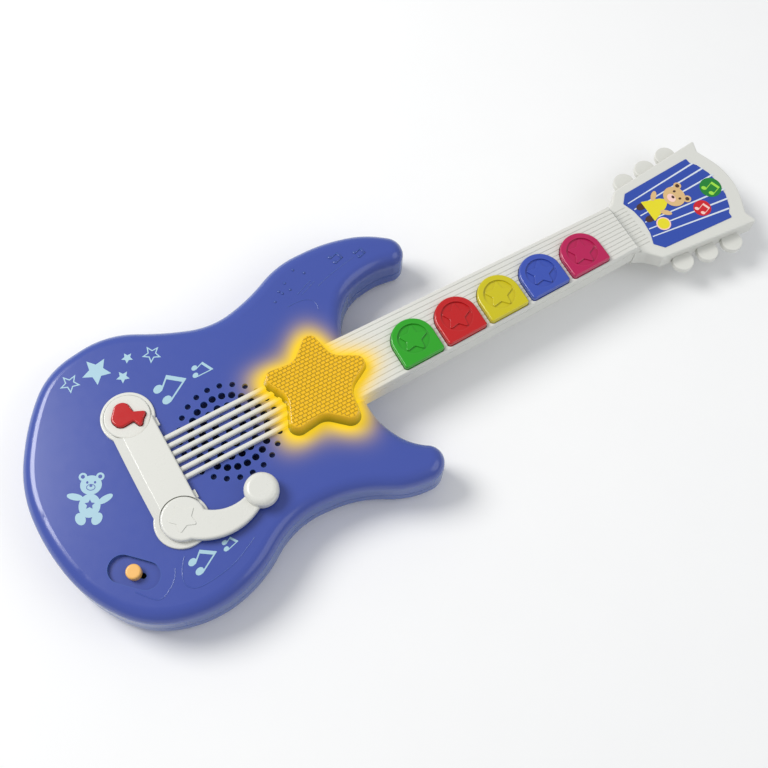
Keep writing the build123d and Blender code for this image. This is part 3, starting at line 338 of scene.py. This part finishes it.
def flat_stroke(mesh, a, b, width, level=0.0, slot=0, end_width=None):
    """Straight stroke between two points."""
    a, b = Vector((*a, 0)), Vector((*b, 0))
    made = bmesh.ops.create_grid(mesh, x_segments=1, y_segments=1, size=0.5)["verts"]
    run = b - a
    for vert in made:
        share = vert.co.x + 0.5
        wide = width + ((end_width or width) - width) * share
        side = Vector((-run.y, run.x, 0)).normalized() * wide * vert.co.y
        vert.co = a + run * share + side
        vert.co.z = level
    return paint(made, slot)


def flat_shape(mesh, points, level=0.0, slot=0):
    """Filled outline through a few points."""
    made = [mesh.verts.new((x, y, level)) for x, y in points]
    mesh.faces.new(made)
    return paint(made, slot)


def paint(verts, slot):
    for face in {f for v in verts for f in v.link_faces}:
        face.material_index = slot
    return verts


def flat_beamed(mesh, heads, tops, head_r, beam, lean=0.35):
    """Pair of joined notes: two oval heads, their stems and the thick beam between the stems' tops."""
    for head, top in zip(heads, tops):
        flat_disc(mesh, *head, head_r, 1.3, lean, 0.0, segments=20)
        run = (Vector(top) - Vector(head)).normalized()
        foot = Vector(head) + Vector((run.y, -run.x)) * head_r * 0.9
        flat_stroke(mesh, foot, top, head_r * 0.42, 0.02)
    (x0, y0), (x1, y1) = tops
    down = (Vector(heads[0]) - Vector(tops[0])).normalized() * beam
    flat_shape(mesh, [(x0, y0), (x1, y1), (x1 + down.x, y1 + down.y), (x0 + down.x, y0 + down.y)], 0.04)


def flat_notes(mesh, x, y, size, turn, level=0.0, slot=0):
    """Pair of joined quavers standing upright along turn."""
    place = Matrix.Translation((x, y, 0)) @ Matrix.Rotation(turn, 4, "Z")

    def at(u, v):
        spot = place @ Vector((u * size, v * size, 0))
        return spot.x, spot.y

    for side in (0.32, -0.32):
        flat_disc(mesh, *at(-0.36, side), 0.145 * size, 1.35, turn + 1.9, level, slot, 16)
        flat_stroke(mesh, at(-0.36, side - 0.15), at(0.36, side - 0.15), 0.055 * size, level + 0.02, slot)
    flat_stroke(mesh, at(0.36, 0.20), at(0.36, -0.50), 0.19 * size, level + 0.04, slot)


def raise_prints(mesh, thickness):
    """Turns flat shapes into thin closed films that face up."""
    bmesh.ops.recalc_face_normals(mesh, faces=mesh.faces)
    down = [f for f in mesh.faces if f.normal.z < 0]
    bmesh.ops.reverse_faces(mesh, faces=down)
    lifted = bmesh.ops.extrude_face_region(mesh, geom=list(mesh.faces), use_keep_orig=True)
    top = [g for g in lifted["geom"] if isinstance(g, bmesh.types.BMVert)]
    bmesh.ops.translate(mesh, vec=(0, 0, thickness), verts=top)
    bmesh.ops.recalc_face_normals(mesh, faces=mesh.faces)


def finish_piece(name, mesh, materials, place, body=BODY):
    """Makes the object from a bmesh drawn in millimetres and lets it ride on a body."""
    bmesh.ops.transform(mesh, matrix=place @ Matrix.Scale(MM, 4), verts=mesh.verts)
    data = bpy.data.meshes.new(name)
    mesh.to_mesh(data)
    mesh.free()
    for material in materials:
        data.materials.append(material)
    piece = bpy.data.objects.new(name, data)
    bpy.context.scene.collection.objects.link(piece)
    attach(piece, body)
    return piece


def printed(name, base, gloss=0.45, glow=False):
    """Pad-printed ink with a slightly uneven, screened surface."""
    return moulded(name, base, gloss=gloss, grain=0.03, drift=0.14, edge=0.0, size=0.00025, spill=glow)


# ------------------------------------------------------------------ operators
class GUITAR_OT_shader_groups(Operator):
    """Build the shared grain, edge and glow shader groups"""
    bl_idname = "guitar.shader_groups"
    bl_label = "Shared shader groups"

    def execute(self, context):
        low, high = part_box("star_lens")
        grain_group()
        edge_group()
        centre = ((low.x + high.x) / 2 - STAR_OFFSET, (low.y + high.y) / 2, FACE_Z)
        glow_group(centre, context.scene.guitar_sizes.glow_reach)
        return {"FINISHED"}


class GUITAR_OT_body(Operator):
    """Give the body shells and the battery door their glossy blue plastic"""
    bl_idname = "guitar.body"
    bl_label = "Body shells"

    def execute(self, context):
        base = context.scene.guitar_colours.body
        # the cyan edge tint is a painted highlight along the body's edges
        blue = moulded("Body blue", base, gloss=0.24, coat=0.25, grain=0.012, drift=0.08, edge=0.25,
                       spill=True, edge_highlight_tint=(0.10, 0.30, 0.62))
        self.paint_rim_reflection(blue)
        dress(blue, "body_front_shell", "body_back_shell", "battery_door")
        return {"FINISHED"}

    def paint_rim_reflection(self, material):
        """Paints a cyan reflection: turns the blue towards cyan where the surface is seen at a slant."""
        tree = Tree(material.node_tree)
        shader = material.node_tree.nodes["Principled BSDF"]
        plain = shader.inputs["Base Color"].links[0].from_socket
        slant = tree.add("ShaderNodeLayerWeight", {"Blend": 0.32})
        share = tree.maths("MULTIPLY", tree.maths("POWER", slant.outputs["Facing"], RIM_REFLECTION_POWER), RIM_REFLECTION_SHARE,
                           clamp=True)
        join(tree, tree.mix(share, plain, (0.012, 0.13, 0.36)), shader.inputs["Base Color"])


class GUITAR_OT_white_parts(Operator):
    """Give the neck, bridge, strings, pegs and arm their white plastic"""
    bl_idname = "guitar.white_parts"
    bl_label = "White mouldings"

    def execute(self, context):
        base = context.scene.guitar_colours.white
        neck = moulded("Neck white", base, gloss=0.34, coat=0.15, grain=0.02, drift=0.05, edge=0.15,
                       spill=True)
        arm = moulded("Bridge white", base, gloss=0.28, coat=0.25, grain=0.012, drift=0.05, edge=0.15)
        dress(neck, "neck_front_shell", "neck_back_shell", "string_bars", "tuning_pegs_upper",
              "tuning_pegs_lower")
        dress(arm, "bridge_cover", "whammy_arm")
        return {"FINISHED"}


class GUITAR_OT_keys(Operator):
    """Give the five fret keys and the bow button their coloured plastics"""
    bl_idname = "guitar.keys"
    bl_label = "Keys and bow button"

    def execute(self, context):
        colours = context.scene.guitar_colours
        for i, name in enumerate(("green", "red", "yellow", "blue", "magenta")):
            plastic = moulded(f"Key {name}", getattr(colours, name), gloss=0.24, coat=0.35, grain=0.015,
                              edge=0.30)
            dress(plastic, f"fret_key_{i + 1}")
        dress(moulded("Bow red", colours.red, gloss=0.20, coat=0.5, grain=0.01, edge=0.25), "bow_button")
        orange = moulded("Knob orange", colours.orange, gloss=0.35, coat=0.1, grain=0.03, edge=0.3)
        dress(orange, "power_switch_knob")
        return {"FINISHED"}


class GUITAR_OT_star_lens(Operator):
    """Give the star its translucent amber plastic with moulded prism rows, a painted glow brightest at its
    top and painted shade towards its foot and in the grooves between the rows
    """
    bl_idname = "guitar.star_lens"
    bl_label = "Star lens"

    def execute(self, context):
        colours = context.scene.guitar_colours
        sizes = context.scene.guitar_sizes
        material, tree, shader = blank("Lens amber")
        grained = grouped(tree, bpy.data.node_groups["Moulding Grain"],
                          {"Size": sizes.grain, "Drift": 0.10, "Gloss": 0.22, "Gloss Change": 0.08})
        place = tree.add("ShaderNodeTexCoord").outputs["Object"]
        rows = tree.add("ShaderNodeTexBrick",
                        {"Vector": place, "Scale": 1.0, "Mortar Size": LENS_MORTAR, "Mortar Smooth": 1.0,
                         "Brick Width": sizes.lens_row * LENS_BRICK, "Row Height": sizes.lens_row,
                         "Color1": (1, 1, 1, 1), "Color2": (0.86, 0.86, 0.86, 1), "Mortar": (0, 0, 0, 1)})
        facing = tree.add("ShaderNodeSeparateXYZ", {0: tree.add("ShaderNodeNewGeometry").outputs["Normal"]})
        top = tree.maths("GREATER_THAN", facing.outputs["Z"], LENS_TOP_FACING)
        height = tree.maths("MULTIPLY", rows.outputs["Color"], top)
        bump = tree.add("ShaderNodeBump", {"Strength": 1.0, "Distance": LENS_BUMP, "Height": height})
        join(tree, bump.outputs["Normal"], shader.inputs["Normal"])
        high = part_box("star_lens")[1]
        level = tree.add("ShaderNodeSeparateXYZ", {0: place}).outputs["Z"]
        # painted shade: the amber darkens to olive towards the lens's foot
        rise = tree.add("ShaderNodeMapRange", {"Value": level, "From Min": FACE_Z, "From Max": high.z})
        foot_shaded = tree.mix(rise.outputs["Result"], (0.13, 0.15, 0.006), tuple(colours.amber))
        # painted shade in the grooves between the prism rows
        groove_shaded = tree.mix(height, tuple(c * 0.60 for c in colours.amber), foot_shaded)
        body = tree.mix(top, foot_shaded, groove_shaded)
        toned = tree.mix(1.0, body, (1, 1, 1), "MULTIPLY")
        join(tree, grained.outputs["Tone"], toned.node.inputs[7])
        join(tree, toned, shader.inputs["Base Color"])
        join(tree, grained.outputs["Roughness"], shader.inputs["Roughness"])
        # painted glow: the lens emits the lamp glow colour, strongest at its top and fading towards its foot
        painted_lens_glow = tree.mix(rise.outputs["Result"], (0.02, 0.025, 0.0), tuple(colours.glow))
        join(tree, painted_lens_glow, shader.inputs["Emission Color"])
        shader.inputs["Emission Strength"].default_value = 0.22
        shader.inputs["Coat Weight"].default_value = 0.3
        shader.inputs["Coat Roughness"].default_value = 0.12
        shader.inputs["Transmission Weight"].default_value = 0.15
        shader.inputs["IOR"].default_value = 1.46
        dress(material, "star_lens")
        lamp = moulded("Lamp epoxy", (0.95, 0.70, 0.25), gloss=0.1, coat=0.6, edge=0.0)
        dress(lamp, "star_lamps")
        return {"FINISHED"}


class GUITAR_OT_inner_parts(Operator):
    """Give screws, boards, cells, wires and the loudspeaker their own finishes"""
    bl_idname = "guitar.inner_parts"
    bl_label = "Screws and inner parts"

    def execute(self, context):
        steel = moulded("Zinc steel", (0.58, 0.59, 0.60), gloss=0.30, grain=0.04, drift=0.2, edge=0.4)
        steel.node_tree.nodes["Principled BSDF"].inputs["Metallic"].default_value = 1.0
        dress(steel, "body_screws", "neck_screws", "headstock_screws", "board_screws", "battery_door_screw",
              "whammy_washer", "whammy_screw", "whammy_spring",
              "battery_spring_contacts", "battery_button_contacts")
        board = moulded("Circuit board", (0.02, 0.13, 0.05), gloss=0.35, coat=0.4, grain=0.05, drift=0.4)
        dress(board, "main_circuit_board", "key_circuit_board", "star_light_board", "bow_button_board")
        black = moulded("Black plastic", (0.018, 0.018, 0.020), gloss=0.5, grain=0.05, edge=0.08)
        dress(black, "bow_button_switch", "power_switch_body", "speaker_magnet", "speaker_clamp_ring",
              "sound_chip", "board_parts")
        # dark cone and frame behind the grille holes; their navy tint is painted shade, standing in for
        # light through the blue shell
        dark_cone_and_hole_shade = moulded("Cone paper", (0.020, 0.030, 0.120), gloss=0.85, grain=0.2, drift=0.5, edge=0.0,
                        size=0.0004)
        dress(dark_cone_and_hole_shade, "speaker_cone", "speaker_frame")
        rubber = moulded("Pad rubber", (0.30, 0.30, 0.31), gloss=0.75, grain=0.05, edge=0.05)
        dress(rubber, "key_rubber_pad")
        cell = moulded("Cell jacket", (0.03, 0.035, 0.05), gloss=0.3, coat=0.4, grain=0.01, edge=0.2)
        dress(cell, "battery_cell_1", "battery_cell_2", "battery_cell_3")
        dress(moulded("Red wire", (0.50, 0.015, 0.01), gloss=0.4), "speaker_wires", "battery_wires")
        return {"FINISHED"}


class GUITAR_OT_body_prints(Operator):
    """Print the pale stars, notes and bear on the body face"""
    bl_idname = "guitar.body_prints"
    bl_label = "Body prints"

    def execute(self, context):
        colours = context.scene.guitar_colours
        lift = context.scene.guitar_sizes.print_lift / MM
        mesh = bmesh.new()
        for x, y, radius, turn in ((-49.4, 69.2, 8.6, 34.7), (-30.7, 68.2, 3.5, 25.0),
                                   (-37.8, 58.6, 4.0, 29.0)):
            flat_star(mesh, x, y, radius, math.radians(turn))
        for x, y, radius, turn in ((-65.6, 69.4, 6.1, 36.0), (-17.5, 63.5, 5.8, 24.0)):
            flat_ring_star(mesh, x, y, radius, 0.65, math.radians(turn))
        for heads, tops, head_r, beam in (
                (((-23.8, 42.1), (-22.2, 33.7)), ((-15.6, 47.5), (-7.2, 40.6)), 2.3, 2.7),
                (((-0.2, 43.9), (-1.6, 39.5)), ((5.7, 44.9), (9.0, 38.3)), 1.4, 1.6),
                (((-51.0, -56.9), (-49.8, -63.2)), ((-44.4, -52.9), (-37.3, -57.8)), 1.9, 2.2),
                (((-31.4, -55.7), (-32.1, -59.3)), ((-27.2, -54.5), (-24.6, -58.4)), 1.2, 1.3)):
            flat_beamed(mesh, heads, tops, head_r, beam)
        self.bear(mesh)
        raise_prints(mesh, lift)
        ink = printed("Pale print", colours.print_pale)
        dark = printed("Print gaps", colours.body)
        finish_piece("body_prints", mesh, [ink, dark], Matrix.Translation((0, 0, FACE_Z)))
        return {"FINISHED"}

    def bear(self, mesh):
        """Waving teddy bear, drawn with a few ovals; it stands along its own up direction."""
        up = math.radians(62)
        place = Matrix.Translation((-83.0, 3.0, 0)) @ Matrix.Rotation(up, 4, "Z")

        def oval(u, v, radius, stretch=1.0, turn=0.0, level=0.0, slot=0):
            spot = place @ Vector((u, v, 0))
            flat_disc(mesh, spot.x, spot.y, radius, stretch, up + turn, level, slot)

        oval(6.5, 0.0, 5.9, 0.94, 0.0, 0.03)
        for side in (1, -1):
            oval(11.3, side * 4.7, 2.3)
            oval(-12.6, side * 4.4, 2.7, 1.35, side * 0.5)
            oval(-1.6 + (side > 0) * 1.5, side * 8.2, 1.9, 2.4, side * (1.0 + (side > 0) * 0.35))
        oval(-5.2, 0.0, 5.9, 1.15, 0.0, 0.015)
        for side in (1, -1):
            oval(8.0, side * 2.1, 0.62, 1.2, 0.0, 0.06, 1)
            oval(11.3, side * 4.7, 1.1, 1.0, 0.0, 0.06, 1)
        oval(5.2, 0.0, 2.5, 0.75, 0.0, 0.06, 1)
        oval(5.2, 0.0, 2.1, 0.70, 0.0, 0.12, 0)
        oval(6.0, 0.0, 0.85, 0.75, 0.0, 0.18, 1)
        heart = place @ Vector((-4.6, 0, 0))
        flat_star(mesh, heart.x, heart.y, 2.9, up, 0.5, 0.06, 1)


class GUITAR_OT_body_ridges(Operator):
    """Raise the moulded lines and notes of the body's decoration"""
    bl_idname = "guitar.body_ridges"
    bl_label = "Moulded lines"

    def execute(self, context):
        radius = context.scene.guitar_sizes.ridge_radius
        lines = [
            [(-53.4, -52.0), (-56.9, -56.4), (-59.6, -62.2), (-59.9, -66.2), (-57.2, -69.7), (-53.1, -71.0),
             (-47.5, -70.9), (-39.3, -70.0), (-32.3, -68.7), (-26.6, -66.6), (-16.0, -61.0)],
            [(-84.1, -56.5), (-80.0, -62.0), (-76.5, -66.0), (-73.3, -66.9), (-68.9, -65.1), (-64.3, -62.0),
             (-61.7, -58.6), (-60.3, -55.3)],
            [(73.5, 56.9), (78.0, 59.0), (81.5, 60.3), (84.6, 61.3)],
            [(75.9, 55.5), (80.0, 57.3), (83.5, 58.7), (86.3, 59.7)],
            [(86.7, 55.9), (93.5, 58.4), (100.5, 60.3), (114.6, 62.7)],
            [(64.9, 52.5), (72.4, 52.9), (78.6, 51.2), (81.2, 46.9), (79.6, 42.0)],
        ]
        curve = bpy.data.curves.new("ridge_lines", "CURVE")
        curve.dimensions = "3D"
        curve.bevel_depth = radius
        curve.bevel_resolution = 3
        curve.resolution_u = 10
        for line in lines:
            spline = curve.splines.new("NURBS")
            spline.points.add(len(line) - 1)
            for point, (x, y) in zip(spline.points, line):
                point.co = (x * MM, y * MM, FACE_Z - radius * RIDGE_SINK, 1.0)
            spline.order_u = 4
            spline.use_endpoint_u = True
        curve.use_fill_caps = True
        holder = bpy.data.objects.new("ridge_holder", curve)
        bpy.context.scene.collection.objects.link(holder)
        bpy.context.view_layer.update()
        data = bpy.data.meshes.new_from_object(holder.evaluated_get(context.evaluated_depsgraph_get()))
        bpy.data.objects.remove(holder)
        mesh = bmesh.new()
        mesh.from_mesh(data)
        bmesh.ops.scale(mesh, vec=(1 / MM, 1 / MM, 1 / MM), verts=mesh.verts)
        notes = bmesh.new()
        flat_notes(notes, 104.9, 68.0, 7.0, 0.3)
        flat_notes(notes, 119.0, 64.0, 6.0, 0.3)
        for x, y in ((59.7, 58.9), (64.8, 63.8), (66.1, 61.7), (70.3, 67.1), (71.1, 61.7), (78.7, 72.5),
                     (83.6, 67.6)):
            flat_disc(notes, x, y, 0.8, segments=14)
        raise_prints(notes, RAISED_NOTE)
        bmesh.ops.translate(notes, vec=(0, 0, FACE_Z / MM - 0.02), verts=notes.verts)
        extra = bpy.data.meshes.new("raised_notes")
        notes.to_mesh(extra)
        notes.free()
        mesh.from_mesh(extra)
        for face in mesh.faces:
            face.smooth = True
        blue = bpy.data.materials["Body blue"]
        finish_piece("body_ridges", mesh, [blue], Matrix.Identity(4))
        return {"FINISHED"}


class GUITAR_OT_headstock_picture(Operator):
    """Print the fan lines, note discs and bear on the headstock label"""
    bl_idname = "guitar.headstock_picture"
    bl_label = "Headstock picture"

    def execute(self, context):
        colours = context.scene.guitar_colours
        label = printed("Label blue", colours.label, gloss=0.25)
        dress(label, "headstock_label")
        inks = [printed("Label " + name, tint, 0.25) for name, tint in (
            ("lines", (0.70, 0.76, 0.84)),
            ("green", (0.01, 0.22, 0.03)),
            ("lime", (0.35, 0.75, 0.06)),
            ("red", (0.62, 0.01, 0.02)),
            ("pink", (0.95, 0.62, 0.55)),
            ("tan", (0.72, 0.48, 0.22)),
            ("yellow", (0.80, 0.70, 0.02)),
            ("brown", (0.07, 0.03, 0.02)))]
        lines, green, lime, red, pink, tan, yellow, brown = range(8)
        mesh = bmesh.new()
        fan = [((16.5, 15.0), (69.5, 19.6)), ((17.5, 9.5), (73.0, 13.6)), ((18.2, 4.0), (76.2, 6.6)),
               ((18.2, -1.2), (76.2, -5.6)), ((17.5, -6.3), (73.6, -12.2)), ((16.5, -11.8), (70.0, -18.4))]
        for start, stop in fan:
            flat_stroke(mesh, start, stop, 0.7, 0.0, lines, 1.1)
        flat_disc(mesh, 68.9, -0.4, 7.0, 1.0, 0.0, 0.05, green)
        flat_notes(mesh, 68.9, -0.4, 8.8, 0.35, 0.10, lime)
        flat_disc(mesh, 55.4, -10.1, 5.6, 1.0, 0.0, 0.05, red)
        flat_notes(mesh, 55.4, -10.1, 7.2, 0.35, 0.10, pink)
        self.bear(mesh, tan, yellow, brown, pink)
        raise_prints(mesh, context.scene.guitar_sizes.print_lift / MM)
        low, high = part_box("headstock_label")
        place = Matrix.Translation((low.x - LABEL_START * MM, 0, high.z))
        finish_piece("headstock_picture", mesh, inks, place)
        return {"FINISHED"}

    def bear(self, mesh, tan, yellow, brown, pink):
        """Drumming teddy bear in a yellow smock."""
        for v in (9.2, -0.6):
            flat_disc(mesh, 22.5, v, 2.3, 1.5, 0.0, 0.05, brown)
        flat_shape(mesh, [(24.0, 12.0), (24.0, -3.5), (35.5, 1.2), (38.5, 3.6), (38.5, 6.6), (35.5, 8.6)],
                   0.10, yellow)
        for v, turn in ((11.8, 0.75), (-1.8, -0.75)):
            flat_disc(mesh, 33.6, v, 1.7, 2.2, turn, 0.12, tan)
        flat_disc(mesh, 27.6, -7.6, 4.6, 1.0, 0.0, 0.15, pink)
        flat_disc(mesh, 27.6, -7.6, 3.8, 1.0, 0.0, 0.20, yellow)
        for v in (10.6, -0.2):
            flat_disc(mesh, 51.0, v, 2.5, 1.0, 0.0, 0.15, tan)
            flat_disc(mesh, 51.0, v, 1.3, 1.0, 0.0, 0.25, brown)
        flat_disc(mesh, 44.8, 5.2, 7.2, 0.95, 0.0, 0.20, tan)
        flat_disc(mesh, 42.6, 5.2, 3.1, 0.8, 0.0, 0.25, pink)
        flat_disc(mesh, 43.8, 5.2, 1.1, 0.8, 0.0, 0.30, brown)
        for v in (8.2, 2.2):
            flat_disc(mesh, 47.0, v, 0.8, 1.2, 0.0, 0.25, brown)


class GUITAR_OT_stage(Operator):
    """Set the floor, the lights, the sky and the camera"""
    bl_idname = "guitar.stage"
    bl_label = "Studio"

    def execute(self, context):
        studio = context.scene.guitar_studio
        scene = context.scene
        mesh = bmesh.new()
        bmesh.ops.create_grid(mesh, x_segments=1, y_segments=1, size=4.0)
        bmesh.ops.translate(mesh, vec=(0, 0, -FLOOR_GAP), verts=mesh.verts)
        data = bpy.data.meshes.new("floor")
        mesh.to_mesh(data)
        mesh.free()
        floor = bpy.data.objects.new("floor", data)
        scene.collection.objects.link(floor)
        material, tree, shader = blank("Paper floor")
        place = tree.add("ShaderNodeTexCoord").outputs["Object"]
        mottle = tree.add("ShaderNodeTexNoise", {"Vector": place, "Scale": 30.0, "Detail": 4.0})
        pale = tree.mix(mottle.outputs["Fac"], tuple(c * 0.985 for c in studio.floor), tuple(studio.floor))
        join(tree, pale, shader.inputs["Base Color"])
        shader.inputs["Roughness"].default_value = 0.9
        data.materials.append(material)
        self.light("key_light", (-0.55, 0.75, 1.15), 0.75, studio.key_watts, (1.0, 0.99, 0.97))
        self.light("fill_light", (0.85, -0.75, 0.85), 1.1, studio.fill_watts, (0.94, 0.97, 1.0))
        world = bpy.data.worlds.new("Studio sky")
        world.use_nodes = True
        world.node_tree.nodes["Background"].inputs["Color"].default_value = (0.97, 0.985, 1.0, 1.0)
        world.node_tree.nodes["Background"].inputs["Strength"].default_value = 0.50
        scene.world = world
        self.camera(scene, studio)
        scene.view_settings.view_transform = "Standard"
        return {"FINISHED"}

    def light(self, name, place, size, watts, tint):
        data = bpy.data.lights.new(name, "AREA")
        data.shape = "DISK"
        data.size = size
        data.energy = watts
        data.color = tint
        lamp = bpy.data.objects.new(name, data)
        lamp.location = place
        lamp.rotation_euler = (Vector((0.1, 0, 0)) - Vector(place)).to_track_quat("-Z", "Y").to_euler()
        bpy.context.scene.collection.objects.link(lamp)

    def camera(self, scene, studio):
        data = bpy.data.cameras.new("camera")
        data.lens = studio.focal
        data.sensor_width = 36.0
        data.clip_start = 0.01
        holder = bpy.data.objects.new("camera", data)
        ahead = (Vector(studio.aim_at) - Vector(studio.camera_at)).normalized()
        right = ahead.cross(Vector(studio.camera_up)).normalized()
        above = right.cross(ahead)
        turn = Matrix((right, above, -ahead)).transposed().to_4x4()
        holder.matrix_world = Matrix.Translation(Vector(studio.camera_at)) @ turn
        scene.collection.objects.link(holder)
        scene.camera = holder


class GUITAR_PT_panel(Panel):
    """Sidebar panel of the toy guitar"""
    bl_label = "Toy Guitar"
    bl_idname = "GUITAR_PT_panel"
    bl_space_type = "VIEW_3D"
    bl_region_type = "UI"
    bl_category = "Toy Guitar"

    def draw(self, context):
        scene = context.scene
        for settings in (scene.guitar_colours, scene.guitar_sizes, scene.guitar_studio):
            box = self.layout.box()
            for name in settings.__annotations__:
                box.prop(settings, name)
        for step in STEPS:
            self.layout.operator(step.bl_idname)


STEPS = (GUITAR_OT_shader_groups, GUITAR_OT_body, GUITAR_OT_white_parts, GUITAR_OT_keys, GUITAR_OT_star_lens,
         GUITAR_OT_inner_parts, GUITAR_OT_body_prints, GUITAR_OT_body_ridges,
         GUITAR_OT_headstock_picture, GUITAR_OT_stage)
CLASSES = (GuitarColours, GuitarSizes, GuitarStudio, *STEPS, GUITAR_PT_panel)


def register():
    for item in CLASSES:
        bpy.utils.register_class(item)
    bpy.types.Scene.guitar_colours = PointerProperty(type=GuitarColours)
    bpy.types.Scene.guitar_sizes = PointerProperty(type=GuitarSizes)
    bpy.types.Scene.guitar_studio = PointerProperty(type=GuitarStudio)


def unregister():
    del bpy.types.Scene.guitar_studio
    del bpy.types.Scene.guitar_sizes
    del bpy.types.Scene.guitar_colours
    for item in reversed(CLASSES):
        bpy.utils.unregister_class(item)


def main():
    register()
    for step in STEPS:
        group, name = step.bl_idname.split(".")
        getattr(getattr(bpy.ops, group), name)()


if __name__ == "__main__":
    main()
